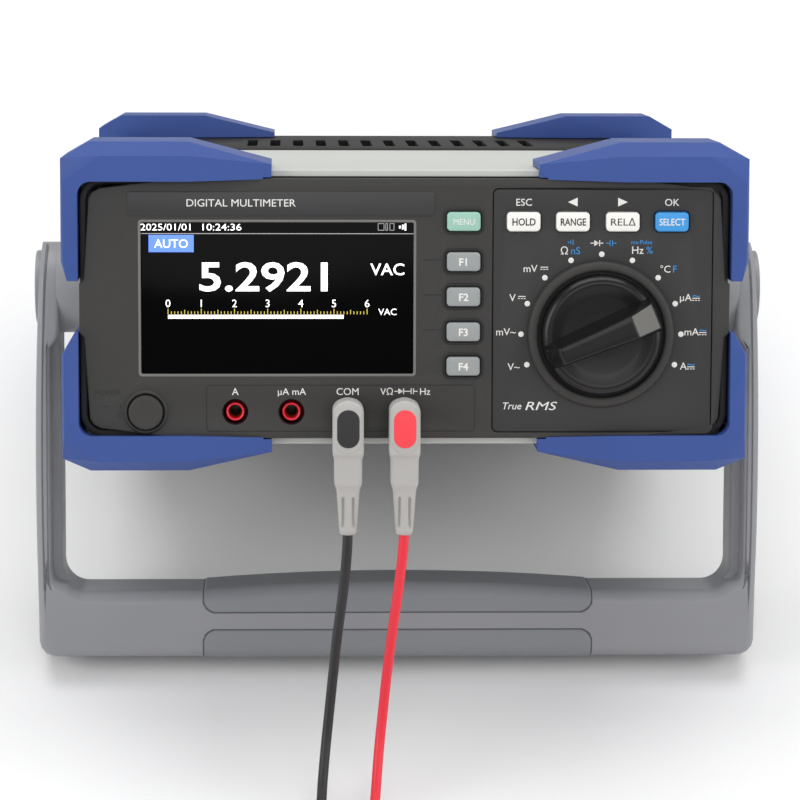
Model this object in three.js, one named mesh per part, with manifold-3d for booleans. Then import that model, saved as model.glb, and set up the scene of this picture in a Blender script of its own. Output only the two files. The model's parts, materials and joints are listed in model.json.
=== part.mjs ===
// A bench multimeter standing tilted on its swung-down carrying handle, with two test leads.
// Millimetres, +Z up, front towards -Y. The instrument is drawn in its own frame (x right,
// y back from the front panel, z up from mid height) and then tilted back onto the floor.
import * as THREE from "three";
import { mergeVertices } from "three/addons/utils/BufferGeometryUtils.js";
import { ConvexGeometry } from "three/addons/geometries/ConvexGeometry.js";
import Module from "manifold-3d";

const wasm = await Module();
wasm.setup();

// Driving dimensions.
const TILT = THREE.MathUtils.degToRad(23.6); // lean of the instrument on its handle
const CLEAR = 0.3; // gap between touching pieces
const PANEL_W = 222; // front bezel
const PANEL_H = 89;
const CORNER_R = 8;
const WALL = 2.6;
const BEZEL_D = 12; // depth of the front bezel
const COVER_W = 221.4; // light covers behind it, a little taller than the bezel
const COVER_H = 94;
const COVER_END = 147;
const REAR_END = 268;
const GUARD_HALF_W = 117; // corner guards
const GUARD_HALF_H = 56.5;
const GUARD_INNER_X = 111.3;
const GUARD_D = 44;
const GUARD_FRONT = -3;
const GUARD_BEVEL = 10; // run of the sloping lip of a guard, its rise follows the tilt
const BODY_BACK = 286; // rear face of the rear guards

const WINDOW = { x: -43.2, z: 3.7, w: 95, h: 53.8 }; // display opening
const PLATE = { x: 67.4, z: -0.7, w: 74.8, h: 83 }; // control plate
const DIAL = { x: 67, z: -8.7, ring: 25.2, bore: 21.6, knob: 20.7 };
const DIAL_REST = THREE.MathUtils.degToRad(67.5); // pointer, clockwise from the top
const KEY_ROW_Z = 29.9;
const KEY_ROW_X = { hold_key: 40.2, range_key: 57, rel_key: 74, select_key: 90.8 };
const SOFT_KEY_X = 19.8;
const SOFT_KEY_Z = { menu_key: 29.9, f1_key: 16.2, f2_key: 4.2, f3_key: -7.8, f4_key: -19.6 };
const KEY_W = 11.4;
const KEY_H = 6.4;
const JACK_Z = -35.4;
const JACK_X = { amp: -58, milliamp: -38.8, common: -19.6, volt: -0.4 };
const POWER = { x: -88.5, z: -35.4, r: 5.9 };

const PIVOT_Y = 86; // handle axis
const HUB_R = 16.5;
const ARM_OUT = 131.6;
const ARM_IN = 122.6;
const GRIP_TOP = -110;
const GRIP_BOTTOM = -134.5;
const PAD_HALF = 71;

const CORD_D = 3.5;
const COIL_R = 20; // mean radius of the wound lead
const PROBE_X = 16.2; // a probe's cord end, from its coil's centre
const PROBE_Y = 25.25;
const COIL_CENTRE = { black: [-50, -263], red: [12, -263] };

// Finishes.
const finish = (color, roughness, metalness) => ({ color, roughness, metalness });
const CHARCOAL = finish(0x3b3b3b, 0.55, 0);
const BLACK = finish(0x17171a, 0.5, 0);
const GUARD_BLUE = finish(0x3f56a0, 0.55, 0);
const SILVER = finish(0xd2d3ce, 0.5, 0);
const HANDLE_GREY = finish(0x85868a, 0.5, 0);
const PAD_GREY = finish(0x7b7e82, 0.7, 0);
const SOFT_GREY = finish(0xa3a5a5, 0.5, 0);
const IVORY = finish(0xefede8, 0.45, 0);
const MINT = finish(0xa9d3c3, 0.5, 0);
const SKY = finish(0x3f94d3, 0.45, 0);
const RED = finish(0xe02a3c, 0.45, 0);
const LEAD_GREY = finish(0xa9a7a5, 0.6, 0);
const GLASS = finish(0x050506, 0.15, 0);
const BRASS = finish(0xb99a58, 0.35, 1);
const BOARD = finish(0x1f5a3a, 0.6, 0);
const STEEL = finish(0xb8babd, 0.35, 1);

// ---- geometry helpers -------------------------------------------------------------------

// A closed geometry as a manifold solid, its faces turned outwards if they point in.
function solid(geometry) {
  const bare = geometry.index ? geometry.toNonIndexed() : geometry.clone();
  bare.deleteAttribute("normal");
  bare.deleteAttribute("uv");
  const merged = mergeVertices(bare, 1e-4);
  const vertProperties = merged.attributes.position.array;
  const triVerts = new Uint32Array(merged.index.array);
  const made = new wasm.Manifold(new wasm.Mesh({ numProp: 3, vertProperties, triVerts }));
  if (made.volume() > 0) return made;
  for (let i = 0; i < triVerts.length; i += 3) {
    [triVerts[i + 1], triVerts[i + 2]] = [triVerts[i + 2], triVerts[i + 1]];
  }
  return new wasm.Manifold(new wasm.Mesh({ numProp: 3, vertProperties, triVerts }));
}

// A manifold solid as a three.js geometry.
function geometryOf(shape) {
  const { vertProperties, triVerts, numProp, numVert } = shape.getMesh();
  const position = new Float32Array(numVert * 3);
  for (let i = 0; i < numVert; i++) {
    position.set(vertProperties.subarray(i * numProp, i * numProp + 3), i * 3);
  }
  const geometry = new THREE.BufferGeometry();
  geometry.setAttribute("position", new THREE.BufferAttribute(position, 3));
  geometry.setIndex(new THREE.BufferAttribute(new Uint32Array(triVerts), 1));
  geometry.computeVertexNormals();
  return geometry;
}

const union = (...shapes) => shapes.reduce((sum, shape) => sum.add(shape));
const cut = (shape, ...tools) => tools.reduce((rest, tool) => rest.subtract(tool), shape);

// A box from its lowest to its highest corner.
function block(low, high) {
  const size = high.map((h, i) => h - low[i]);
  const middle = high.map((h, i) => (h + low[i]) / 2);
  return solid(new THREE.BoxGeometry(...size).translate(...middle));
}

// A rectangle with round corners in the panel's plane (x across, z up).
function roundRect(w, h, r, x = 0, z = 0) {
  const shape = new THREE.Shape();
  const [a, b] = [w / 2 - r, h / 2 - r];
  shape.absarc(x + a, z + b, r, 0, Math.PI / 2);
  shape.absarc(x - a, z + b, r, Math.PI / 2, Math.PI);
  shape.absarc(x - a, z - b, r, Math.PI, 1.5 * Math.PI);
  shape.absarc(x + a, z - b, r, 1.5 * Math.PI, 2 * Math.PI);
  return shape;
}

function outline(points) {
  return new THREE.Shape(points.map(([x, z]) => new THREE.Vector2(x, z)));
}

// A panel-plane shape carried back from y0 to y1, its edges bevelled by `bevel`.
function slab(shape, y0, y1, bevel = 0, curveSegments = 3) {
  const geometry = new THREE.ExtrudeGeometry(shape, {
    depth: y1 - y0 - 2 * bevel,
    curveSegments,
    bevelEnabled: bevel > 0,
    bevelThickness: bevel,
    bevelSize: bevel,
    bevelOffset: -bevel,
    bevelSegments: 1,
  });
  return solid(geometry.rotateX(Math.PI / 2).translate(0, y1 - bevel, 0));
}

// A side-view outline (y, z) carried across from x0 to x1.
function sideSlab(points, x0, x1) {
  const geometry = new THREE.ExtrudeGeometry(outline(points), { depth: x1 - x0, bevelEnabled: false });
  return solid(geometry.rotateX(Math.PI / 2).rotateZ(Math.PI / 2).translate(x0, 0, 0));
}

// A profile of [radius, y] points turned about an axis along y at (x, z).
function turned(profile, x, z, segments = 24) {
  const points = profile.map(([r, y]) => new THREE.Vector2(r, y));
  return solid(new THREE.LatheGeometry(points, segments).translate(x, 0, z));
}

const disc = (r, y0, y1, x, z, segments = 24) => turned([[0, y0], [r, y0], [r, y1], [0, y1]], x, z, segments);

function ring(inner, outer, y0, y1, x, z, segments = 24) {
  return turned([[inner, y0], [outer, y0], [outer, y1], [inner, y1], [inner, y0]], x, z, segments);
}

// A cylinder along x at the handle's axis.
function hubDisc(r, x0, x1, segments = 20) {
  const geometry = new THREE.CylinderGeometry(r, r, x1 - x0, segments);
  return solid(geometry.rotateZ(Math.PI / 2).translate((x0 + x1) / 2, PIVOT_Y, 0));
}

const hull = (points) => solid(new ConvexGeometry(points.map((p) => new THREE.Vector3(...p))));

// ---- scene graph ------------------------------------------------------------------------

const root = new THREE.Group();
const instrument = new THREE.Group();
root.add(instrument);

function place(name, shape, look, parent = instrument) {
  const mesh = new THREE.Mesh(geometryOf(shape), new THREE.MeshStandardMaterial(look));
  mesh.name = name;
  parent.add(mesh);
  return mesh;
}

// ---- front ------------------------------------------------------------------------------

const keyOpening = (x, z, grow) => roundRect(KEY_W + grow, KEY_H + grow, 1.3 + grow / 2, x, z);

function frontBezel() {
  let bezel = slab(roundRect(PANEL_W, PANEL_H, CORNER_R), 0, BEZEL_D, 1.1);
  bezel = cut(bezel, slab(roundRect(PANEL_W - 5, PANEL_H - 5, CORNER_R - 2.5), WALL, BEZEL_D + 1));
  bezel = cut(bezel, slab(roundRect(WINDOW.w + 0.6, WINDOW.h + 0.6, 1, WINDOW.x, WINDOW.z), -1, WALL + 1));
  bezel = cut(bezel, slab(roundRect(PLATE.w + 0.6, PLATE.h + 0.6, 2, PLATE.x, PLATE.z), -1, 1.2));
  bezel = cut(bezel, disc(8, -1, WALL + 1, DIAL.x, DIAL.z, 16));
  bezel = cut(bezel, disc(POWER.r + 0.4, -1, WALL + 1, POWER.x, POWER.z, 20));
  for (const x of Object.values(JACK_X)) {
    bezel = cut(bezel, disc(4.3, -1, WALL + 1, x, JACK_Z, 16));
  }
  for (const x of Object.values(KEY_ROW_X)) {
    bezel = cut(bezel, slab(keyOpening(x, KEY_ROW_Z, 0.8), 0, WALL + 1, 0, 1));
  }
  for (const z of Object.values(SOFT_KEY_Z)) {
    bezel = cut(bezel, slab(keyOpening(SOFT_KEY_X, z, 0.8), -1, WALL + 1, 0, 1));
  }
  // Each corner is relieved, so that the guard stands off the panel in a dark pocket.
  const relief = [[76, 44.7], [104, 41.2], [107.4, 38.4], [109.2, 10], [113, 10], [113, 46], [76, 46]];
  for (const [sx, sz] of [[1, 1], [1, -1], [-1, 1], [-1, -1]]) {
    bezel = cut(bezel, slab(outline(relief.map(([x, z]) => [sx * x, sz * z])), -1, 5));
  }
  return bezel;
}

function displayLens() {
  const lip = slab(roundRect(WINDOW.w + 5, WINDOW.h + 5, 2), WALL + CLEAR, WALL + 1.2);
  const face = slab(roundRect(WINDOW.w, WINDOW.h, 0.8), 0.5, WALL + 1);
  const shape = union(lip, face).translate([WINDOW.x, 0, WINDOW.z]);
  return shape;
}

function lcdModule() {
  const [x, z] = [WINDOW.x, WINDOW.z];
  return block([x - 52.5, 4.2, z - 32.5], [x + 52.5, 8.6, z + 32.5]);
}

function controlPlate() {
  let plate = slab(roundRect(PLATE.w, PLATE.h, 1.7, PLATE.x, PLATE.z), 0.1, 0.9);
  plate = cut(plate, disc(DIAL.ring + CLEAR, -1, 2, DIAL.x, DIAL.z, 32));
  for (const x of Object.values(KEY_ROW_X)) {
    plate = cut(plate, slab(keyOpening(x, KEY_ROW_Z, 0.8), -1, 2, 0, 1));
  }
  return plate;
}

function dialRing() {
  const { bore, ring: rim, x, z } = DIAL;
  const crown = [[bore, -1.2], [bore + 1.2, -2.2], [rim - 1, -2], [rim, -1]];
  const profile = [[bore, 0.9], ...crown, [rim, 0.9], [bore, 0.9]];
  return turned(profile, x, z, 32);
}

// The knob: a domed disc with a bar across it, whose chamfered end is the pointer.
function dialKnob() {
  const { knob } = DIAL;
  const rim = [[0, -0.4], [knob, -0.4], [knob, -3], [knob - 1.2, -5], [knob - 4.5, -7], [0, -7.4]];
  const bar = [
    [-5.6, -2, -19.6], [5.6, -2, -19.6], [-5.6, -2, 19.4], [5.6, -2, 19.4],
    [-3.4, -18, -16.6], [3.4, -18, -16.6], [-3.4, -18, 13.4], [3.4, -18, 13.4],
    [-5, -9, -19.9], [5, -9, -19.9], [-5, -8.4, 19.9], [5, -8.4, 19.9],
  ];
  const shape = union(turned(rim, 0, 0, 32), hull(bar));
  return cut(shape, disc(3.3, -6, 1, 0, 0, 16));
}

function softKey(x, z) {
  const cap = slab(roundRect(KEY_W, KEY_H, 1.3, x, z), -1.6, 3.4, 0.5, 1);
  const [a, b] = [KEY_W / 2 + 1.2, KEY_H / 2 + 1.2];
  const flange = block([x - a, WALL + CLEAR, z - b], [x + a, 3.8, z + b]);
  return union(cap, flange);
}

function powerButton() {
  const { x, z, r } = POWER;
  const cap = turned([[0, -2.4], [r - 0.8, -2.4], [r, -1.7], [r, 3.6], [0, 3.6]], x, z, 20);
  return union(cap, disc(r + 0.7, WALL + CLEAR, 4, x, z, 20), block([x - 2, 3, z - 2], [x + 2, 8, z + 2]));
}

function powerSwitch() {
  const { x, z } = POWER;
  const can = block([x - 6, 11.4, z - 6.4], [x + 6, 25, z + 6.4]);
  return cut(can, block([x - 2.3, 11, z - 2.3], [x + 2.3, 15, z + 2.3]));
}

function rotarySwitch() {
  const wafer = disc(17, 11, 19, DIAL.x, DIAL.z, 16);
  return cut(wafer, disc(3.3, 10, 20, DIAL.x, DIAL.z, 16));
}

function jackShell(x) {
  const profile = [
    [3.95, 0.5], [4.15, 0.5], [4.15, WALL + CLEAR], [5.6, WALL + CLEAR], [5.6, 24], [0, 24], [0, 22.5],
    [3.95, 22.5], [3.95, 0.5],
  ];
  return turned(profile, x, JACK_Z, 16);
}

const jackCore = (x) => ring(2.3, 3.2, 0.9, 22.2, x, JACK_Z, 12);

// ---- case -------------------------------------------------------------------------------

function halfCover(sign) {
  const outer = slab(roundRect(COVER_W, COVER_H, CORNER_R), BEZEL_D - 7, COVER_END);
  const inner = slab(roundRect(COVER_W - 5, COVER_H - 5, CORNER_R - 2.5), BEZEL_D - 8, COVER_END + 1);
  const shell = cut(outer, inner, slab(roundRect(PANEL_W + 0.6, PANEL_H + 0.6, CORNER_R), 0, BEZEL_D + CLEAR));
  const far = sign * 80;
  const near = sign * (CLEAR / 2);
  return shell.intersect(block([-120, -1, Math.min(near, far)], [120, 300, Math.max(near, far)]));
}

// The dark rear half of the case, vented along its top and open to the rear panel.
function rearCase() {
  const y0 = COVER_END + CLEAR;
  const outer = slab(roundRect(PANEL_W, COVER_H + 0.6, CORNER_R), y0, REAR_END, 0.8);
  const inner = slab(roundRect(PANEL_W - 5, COVER_H - 4.4, CORNER_R - 2.5), y0 - 1, REAR_END + 1);
  let shell = cut(outer, inner);
  for (let i = -6; i <= 6; i++) {
    shell = cut(shell, block([i * 9 - 2, 175, 40], [i * 9 + 2, 225, 50]));
  }
  return shell;
}

function rearPanel() {
  let panel = slab(roundRect(PANEL_W - 5.6, COVER_H - 5, CORNER_R - 3), REAR_END - 8, REAR_END - 5.5);
  panel = cut(panel, slab(roundRect(28.4, 20.4, 2, -70, -18), REAR_END - 12, REAR_END));
  panel = cut(panel, disc(6.3, REAR_END - 12, REAR_END, -34, -18, 20));
  for (let i = 0; i < 8; i++) {
    panel = cut(panel, block([20 + i * 8, REAR_END - 12, -22], [23 + i * 8, REAR_END, 22]));
  }
  return panel;
}

function mainsInlet() {
  const [x, z] = [-70, -18];
  const flange = slab(roundRect(36, 27, 3, x, z), REAR_END - 5.2, REAR_END - 3.2);
  const body = slab(roundRect(27.8, 19.8, 2, x, z), REAR_END - 26, REAR_END - 4);
  const well = slab(roundRect(24, 16, 3, x, z), REAR_END - 20, REAR_END);
  let shape = cut(union(flange, body), well);
  for (const dx of [-7, 0, 7]) {
    const pinZ = dx === 0 ? z + 2 : z - 1;
    const pin = block([x + dx - 1, REAR_END - 21, pinZ - 2], [x + dx + 1, REAR_END - 8, pinZ + 2]);
    shape = union(shape, pin);
  }
  return shape;
}

function fuseHolder() {
  const cap = [[0, REAR_END - 20], [6, REAR_END - 20], [6, REAR_END - 5.2], [8, REAR_END - 5.2],
    [8, REAR_END - 2.5], [5.6, REAR_END - 1], [0, REAR_END - 1]];
  return turned(cap, -34, -18, 20);
}

// One corner guard, drawn for the upper right corner; sx and sz place it, and the rear ones
// are the same piece turned to face back. Its lip slopes at the angle of the tilt, so the
// lower rear pair stands flat on the floor. armEnd is where its side arm stops.
function guard(sx, sz, rear) {
  const rise = GUARD_BEVEL * Math.tan(TILT);
  const [face, run, back] = [GUARD_FRONT, GUARD_FRONT + GUARD_BEVEL, GUARD_FRONT + GUARD_D];
  const [top, crease] = [GUARD_HALF_H, GUARD_HALF_H - rise];
  const under = 43.4;
  const side = GUARD_HALF_W;
  const armEnd = sz > 0 ? 9.6 : 8;
  const armTaper = sz > 0 ? 16.2 : 15.6;
  const armTip = sz > 0 ? side - 2 : GUARD_INNER_X + 1.2;
  const bar = [
    [74, face, under], [108, face, under], [74, face, crease], [103.6, face, crease],
    [74, run, top], [107.8, run, top], [74, back, top], [107.8, back, top],
    [74, back, under], [108, back, under],
  ];
  const tip = [
    [74, face, under], [74, face, crease], [74, run, top], [74, back, top], [74, back, under],
    [45.6, face + 3, under + 0.8], [45.6, face + 3, 49.2], [45.6, back - 6, 49.4],
    [45.6, back - 6, under + 0.8],
  ];
  const corner = [
    [103.6, face, crease], [103.6, face, under],
    [side - 0.8, face, crease - 8.6], [side - 0.8, face, under - 8],
    [GUARD_INNER_X, face, under - 8], [107.8, run, top], [side, run - 8, 51.2], [side, back, 51.2],
    [107.8, back, top], [GUARD_INNER_X, back, under - 8], [103.6, back, under], [side, back, under - 8],
    [side, face + 1.6, under - 8],
  ];
  const arm = [
    [GUARD_INNER_X, face, under - 7], [side - 0.8, face, under - 7], [side, face + 1.6, under - 7],
    [side, back, under - 7], [GUARD_INNER_X, back, under - 7],
    [side - 0.8, face, armTaper], [side, face + 1.6, armTaper], [side, back - 6, armTaper],
    [GUARD_INNER_X, face + 1, armEnd], [armTip, face + 1, armEnd], [armTip, back - 8, armEnd],
    [GUARD_INNER_X, back - 8, armEnd],
  ];
  let shape = union(hull(bar), hull(tip), hull(corner), hull(arm));
  // The case and its panel are cut out of the guard with a running gap.
  const seat = rear ? COVER_H + 1.2 : COVER_H + 0.6;
  const seatStart = rear ? BODY_BACK + GUARD_FRONT - REAR_END - CLEAR : BEZEL_D - 7 - CLEAR;
  shape = cut(shape, slab(roundRect(PANEL_W + 0.6, seat, CORNER_R), seatStart, 80));
  shape = cut(shape, slab(roundRect(PANEL_W + 0.6, PANEL_H + 0.6, CORNER_R), -CLEAR, 80));
  shape = cut(shape, slab(roundRect(PANEL_W + 0.6, 2 * under, 4.5), -20, 80));
  const placed = new THREE.Matrix4().makeScale(sx, rear ? -1 : 1, sz);
  placed.setPosition(0, rear ? BODY_BACK + GUARD_FRONT : 0, 0);
  return solid(geometryOf(shape).applyMatrix4(placed));
}

function mainBoard() {
  const board = block([-95, 60, -34], [95, 200, -32.4]);
  let shape = board;
  const parts = [[-60, 80, 20, 30, 12], [20, 90, 26, 26, 6], [60, 150, 14, 14, 16], [-10, 160, 30, 18, 9]];
  for (const [x, y, w, d, h] of parts) {
    shape = union(shape, block([x, y, -33], [x + w, y + d, -32.4 + h]));
  }
  return shape;
}

function transformer() {
  const core = block([-92, 208, -43], [-44, 236, -3]);
  return union(core, block([-86, 203, -38], [-50, 241, -8]));
}

// ---- handle -----------------------------------------------------------------------------

// The handle seen from the front: two arms that bow out a little, and the grip below them.
function handleFront() {
  const shape = new THREE.Shape();
  const outerR = 6;
  const innerR = 9;
  shape.moveTo(-ARM_OUT + 2.6, HUB_R + 1);
  shape.quadraticCurveTo(-ARM_OUT - 0.6, -40, -ARM_OUT, -90);
  shape.lineTo(-ARM_OUT + 0.8, GRIP_BOTTOM + outerR);
  shape.absarc(-ARM_OUT + 0.8 + outerR, GRIP_BOTTOM + outerR, outerR, Math.PI, 1.5 * Math.PI);
  shape.lineTo(ARM_OUT - 0.8 - outerR, GRIP_BOTTOM);
  shape.absarc(ARM_OUT - 0.8 - outerR, GRIP_BOTTOM + outerR, outerR, 1.5 * Math.PI, 2 * Math.PI);
  shape.lineTo(ARM_OUT, -90);
  shape.quadraticCurveTo(ARM_OUT + 0.6, -40, ARM_OUT - 2.6, HUB_R + 1);
  shape.lineTo(ARM_IN, HUB_R + 1);
  shape.lineTo(ARM_IN, GRIP_TOP + innerR);
  shape.absarc(ARM_IN - innerR, GRIP_TOP + innerR, innerR, 0, -Math.PI / 2, true);
  shape.lineTo(-ARM_IN + innerR, GRIP_TOP);
  shape.absarc(-ARM_IN + innerR, GRIP_TOP + innerR, innerR, -Math.PI / 2, -Math.PI, true);
  shape.lineTo(-ARM_IN, HUB_R + 1);
  return shape;
}

// The handle from the side: a bar with a round top about its axis and round lower edges.
function sideBar(bottom, half, r) {
  const points = [];
  for (let i = 0; i <= 12; i++) {
    const a = (Math.PI * i) / 12;
    points.push([PIVOT_Y + half * Math.cos(a), half * Math.sin(a)]);
  }
  for (const [sign, from] of [[-1, Math.PI], [1, 1.5 * Math.PI]]) {
    for (let i = 0; i <= 3; i++) {
      const a = from + (Math.PI / 6) * i;
      points.push([PIVOT_Y + sign * (half - r) + r * Math.cos(a), bottom + r + r * Math.sin(a)]);
    }
  }
  return points;
}

const padBand = (low, high) => slab(roundRect(2 * PAD_HALF, high - low, 5, 0, (low + high) / 2), 40, 130);

function gripSection(inset, x) {
  const r = 5 - Math.min(inset, 2);
  const [y, half] = [PIVOT_Y, HUB_R - inset];
  const [top, low] = [GRIP_TOP - inset, GRIP_BOTTOM + inset];
  const shape = roundRect(2 * half, top - low, r, y, (top + low) / 2);
  const geometry = new THREE.ExtrudeGeometry(shape, { depth: 2 * x, bevelEnabled: false, curveSegments: 3 });
  return solid(geometry.rotateX(Math.PI / 2).rotateZ(Math.PI / 2).translate(-x, 0, 0));
}

function handleFrame() {
  let frame = slab(handleFront(), PIVOT_Y - HUB_R, PIVOT_Y + HUB_R, 0, 4);
  frame = frame.intersect(sideSlab(sideBar(GRIP_BOTTOM, HUB_R, 5), -140, 140));
  for (const s of [-1, 1]) {
    const [near, far] = [s * ARM_IN, s * (ARM_IN + 3.6)];
    const [x0, x1] = [Math.min(near, far) - 1, Math.max(near, far)];
    // The inner face is stepped back along its front edge, which leaves a thin rim there.
    frame = cut(frame, block([x0, PIVOT_Y - HUB_R - 1, GRIP_TOP + 2], [x1, PIVOT_Y - HUB_R + 9, -HUB_R]));
    const [a, b] = [s * (GUARD_INNER_X + 0.7), s * (ARM_IN + 1)];
    frame = union(frame, hubDisc(HUB_R, Math.min(a, b), Math.max(a, b)));
    const [c, d] = [s * 105, s * 140];
    frame = cut(frame, hubDisc(6.3, Math.min(c, d), Math.max(c, d), 16));
    const [e, f] = [s * (ARM_OUT - 3.4), s * 140];
    frame = cut(frame, hubDisc(12.3, Math.min(e, f), Math.max(e, f)));
  }
  const shell = cut(gripSection(-1, PAD_HALF + 2), gripSection(1.9, PAD_HALF + 3));
  for (const [low, high] of [[-117.8, -100], [-145, -123.8]]) {
    frame = cut(frame, shell.intersect(padBand(low, high)));
  }
  return frame;
}

// The upper pad rises to a low arch in the palm of the hand.
function upperPad() {
  const arch = new THREE.Shape();
  arch.moveTo(-PAD_HALF + CLEAR, -125);
  arch.lineTo(-PAD_HALF + CLEAR, GRIP_TOP);
  arch.quadraticCurveTo(0, GRIP_TOP + 5.6, PAD_HALF - CLEAR, GRIP_TOP);
  arch.lineTo(PAD_HALF - CLEAR, -125);
  const grip = slab(arch, PIVOT_Y - HUB_R, PIVOT_Y + HUB_R, 0, 10);
  const band = slab(roundRect(2 * (PAD_HALF - CLEAR), 17.2, 5 - CLEAR, 0, -117.5 + 8.6), 40, 130);
  const outer = union(gripSection(0, PAD_HALF - CLEAR), slab(arch, PIVOT_Y - 11.5, PIVOT_Y + 11.5, 0, 10));
  return cut(outer.intersect(grip), gripSection(1.6, PAD_HALF)).intersect(band);
}

function lowerPad() {
  const band = slab(roundRect(2 * (PAD_HALF - CLEAR), 21, 5 - CLEAR, 0, -124.1 - 10.5), 40, 130);
  return cut(gripSection(0, PAD_HALF - CLEAR), gripSection(1.6, PAD_HALF)).intersect(band);
}

function pivotBoss(s) {
  const flange = hubDisc(9, 111, 111.7);
  const axle = hubDisc(6, 111.2, 127.6, 16);
  const shape = union(flange, axle);
  return s > 0 ? shape : solid(geometryOf(shape).applyMatrix4(new THREE.Matrix4().makeScale(-1, 1, 1)));
}

function hubCap(s) {
  const cap = hubDisc(12, ARM_OUT - 3.1, ARM_OUT - 0.6);
  return s > 0 ? cap : solid(geometryOf(cap).applyMatrix4(new THREE.Matrix4().makeScale(-1, 1, 1)));
}

// ---- test leads -------------------------------------------------------------------------

// A right-angle plug: a flat head over the socket, a waist, and a ribbed tapering tail.
function plugBody(x) {
  const stations = [
    [-29.9, 4.2, -13.2, -3.6], [-31.6, 5.2, -14.3, -2.4], [-47.6, 5.3, -14.5, -2.3],
    [-49.4, 4.75, -13.6, -2.8], [-59, 4.7, -13.2, -3], [-61, 3.8, -12.4, -3.8], [-76.5, 2.9, -11, -5.2],
  ];
  let shape = null;
  for (let i = 0; i + 1 < stations.length; i++) {
    const corners = [];
    for (const [z, half, y0, y1] of [stations[i], stations[i + 1]]) {
      const c = Math.min(1.4, half / 2);
      for (const s of [-1, 1]) {
        corners.push([x + s * half, y0 + c, z], [x + s * (half - c), y0, z]);
        corners.push([x + s * half, y1 - c, z], [x + s * (half - c), y1, z]);
      }
    }
    const piece = hull(corners);
    shape = shape ? union(shape, piece) : piece;
  }
  return union(shape, ring(3.45, 3.72, -3, 10, x, JACK_Z, 20));
}

const plugPin = (x) => turned([[0, -2], [2, -2], [2, 19], [1.2, 20], [0, 20]], x, JACK_Z, 12);

// A probe lying along x from its cord end at (x, y); s is the way it points.
function probe(x, y, s) {
  const profile = [
    [0, 0], [2.4, 0], [3.6, 12], [4.6, 16], [4.6, 80], [6.6, 82], [6.6, 85], [4, 87], [3.2, 100],
    [1, 101], [1, 117], [0, 119],
  ];
  const points = profile.map(([r, t]) => new THREE.Vector2(r, t));
  const geometry = new THREE.LatheGeometry(points, 8).rotateZ((-s * Math.PI) / 2);
  return solid(geometry.translate(x, y, 6.7));
}

function coilSolid([x, y]) {
  const [inner, outer, height] = [COIL_R - 2.1 * CORD_D, COIL_R + 2.1 * CORD_D, 2 * CORD_D + 0.4];
  const profile = [[inner, 0.1], [outer, 0.1], [outer, height], [inner, height], [inner, 0.1]];
  const points = profile.map(([r, z]) => new THREE.Vector2(r, z));
  return solid(new THREE.LatheGeometry(points, 20).rotateX(Math.PI / 2).translate(x, y, 0));
}

// The stretch of a lead from its plug down to its coil.
function cordTube(route) {
  const path = new THREE.CatmullRomCurve3(route.map((p) => new THREE.Vector3(...p)));
  const section = new THREE.Shape();
  for (let i = 0; i < 8; i++) {
    const a = (Math.PI * (i + 0.5)) / 4;
    const [u, v] = [(CORD_D / 2) * Math.cos(a), (CORD_D / 2) * Math.sin(a)];
    if (i === 0) section.moveTo(u, v);
    else section.lineTo(u, v);
  }
  section.closePath();
  return solid(new THREE.ExtrudeGeometry(section, { extrudePath: path, steps: 18, bevelEnabled: false }));
}

// ---- assembly ---------------------------------------------------------------------------

place("front_bezel", frontBezel(), CHARCOAL);
place("display_lens", displayLens(), GLASS);
place("lcd_module", lcdModule(), STEEL);
place("control_plate", controlPlate(), CHARCOAL);
place("dial_ring", dialRing(), CHARCOAL);

const dial = new THREE.Group();
dial.position.set(DIAL.x, 0, DIAL.z);
dial.rotation.y = DIAL_REST;
instrument.add(dial);
place("dial_knob", dialKnob(), BLACK, dial);
place("switch_shaft", disc(3, -5.7, 16, 0, 0, 16), STEEL, dial);
place("rotary_switch", rotarySwitch(), SILVER);

const KEY_LOOKS = { menu_key: MINT, select_key: SKY };
for (const [name, x] of Object.entries(KEY_ROW_X)) {
  place(name, softKey(x, KEY_ROW_Z), KEY_LOOKS[name] ?? IVORY);
}
for (const [name, z] of Object.entries(SOFT_KEY_Z)) {
  place(name, softKey(SOFT_KEY_X, z), KEY_LOOKS[name] ?? SOFT_GREY);
}
place("power_button", powerButton(), CHARCOAL);
place("power_switch", powerSwitch(), BLACK);
for (const [name, x] of Object.entries(JACK_X)) {
  place(name + "_jack_shell", jackShell(x), BLACK);
  place(name + "_jack_core", jackCore(x), name === "common" ? BLACK : RED);
}

place("top_cover", halfCover(1), SILVER);
place("bottom_cover", halfCover(-1), SILVER);
place("rear_case", rearCase(), BLACK);
place("rear_panel", rearPanel(), BLACK);
place("mains_inlet", mainsInlet(), BLACK);
place("fuse_holder", fuseHolder(), BLACK);
for (const [end, rear] of [["front", false], ["rear", true]]) {
  for (const [level, sz] of [["upper", 1], ["lower", -1]]) {
    for (const [side, sx] of [["left", -1], ["right", 1]]) {
      place(`${end}_${level}_${side}_guard`, guard(sx, sz, rear), GUARD_BLUE);
    }
  }
}
place("main_board", mainBoard(), BOARD);
place("transformer", transformer(), STEEL);

// Whatever of the handle would reach under the floor is left flat on it.
const floorDrop = BODY_BACK * Math.sin(TILT) + (GUARD_HALF_H - GUARD_BEVEL * Math.tan(TILT)) * Math.cos(TILT);
const underFloor = solid(
  new THREE.BoxGeometry(400, 900, 100).translate(0, 0, -50 - floorDrop).rotateX(TILT),
);
place("handle_frame", cut(handleFrame(), underFloor), HANDLE_GREY);
place("upper_grip_pad", upperPad(), PAD_GREY);
place("lower_grip_pad", cut(lowerPad(), underFloor), PAD_GREY);
for (const [side, s] of [["left", -1], ["right", 1]]) {
  place(side + "_pivot_boss", pivotBoss(s), BLACK);
  place(side + "_hub_cap", hubCap(s), HANDLE_GREY);
}

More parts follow.
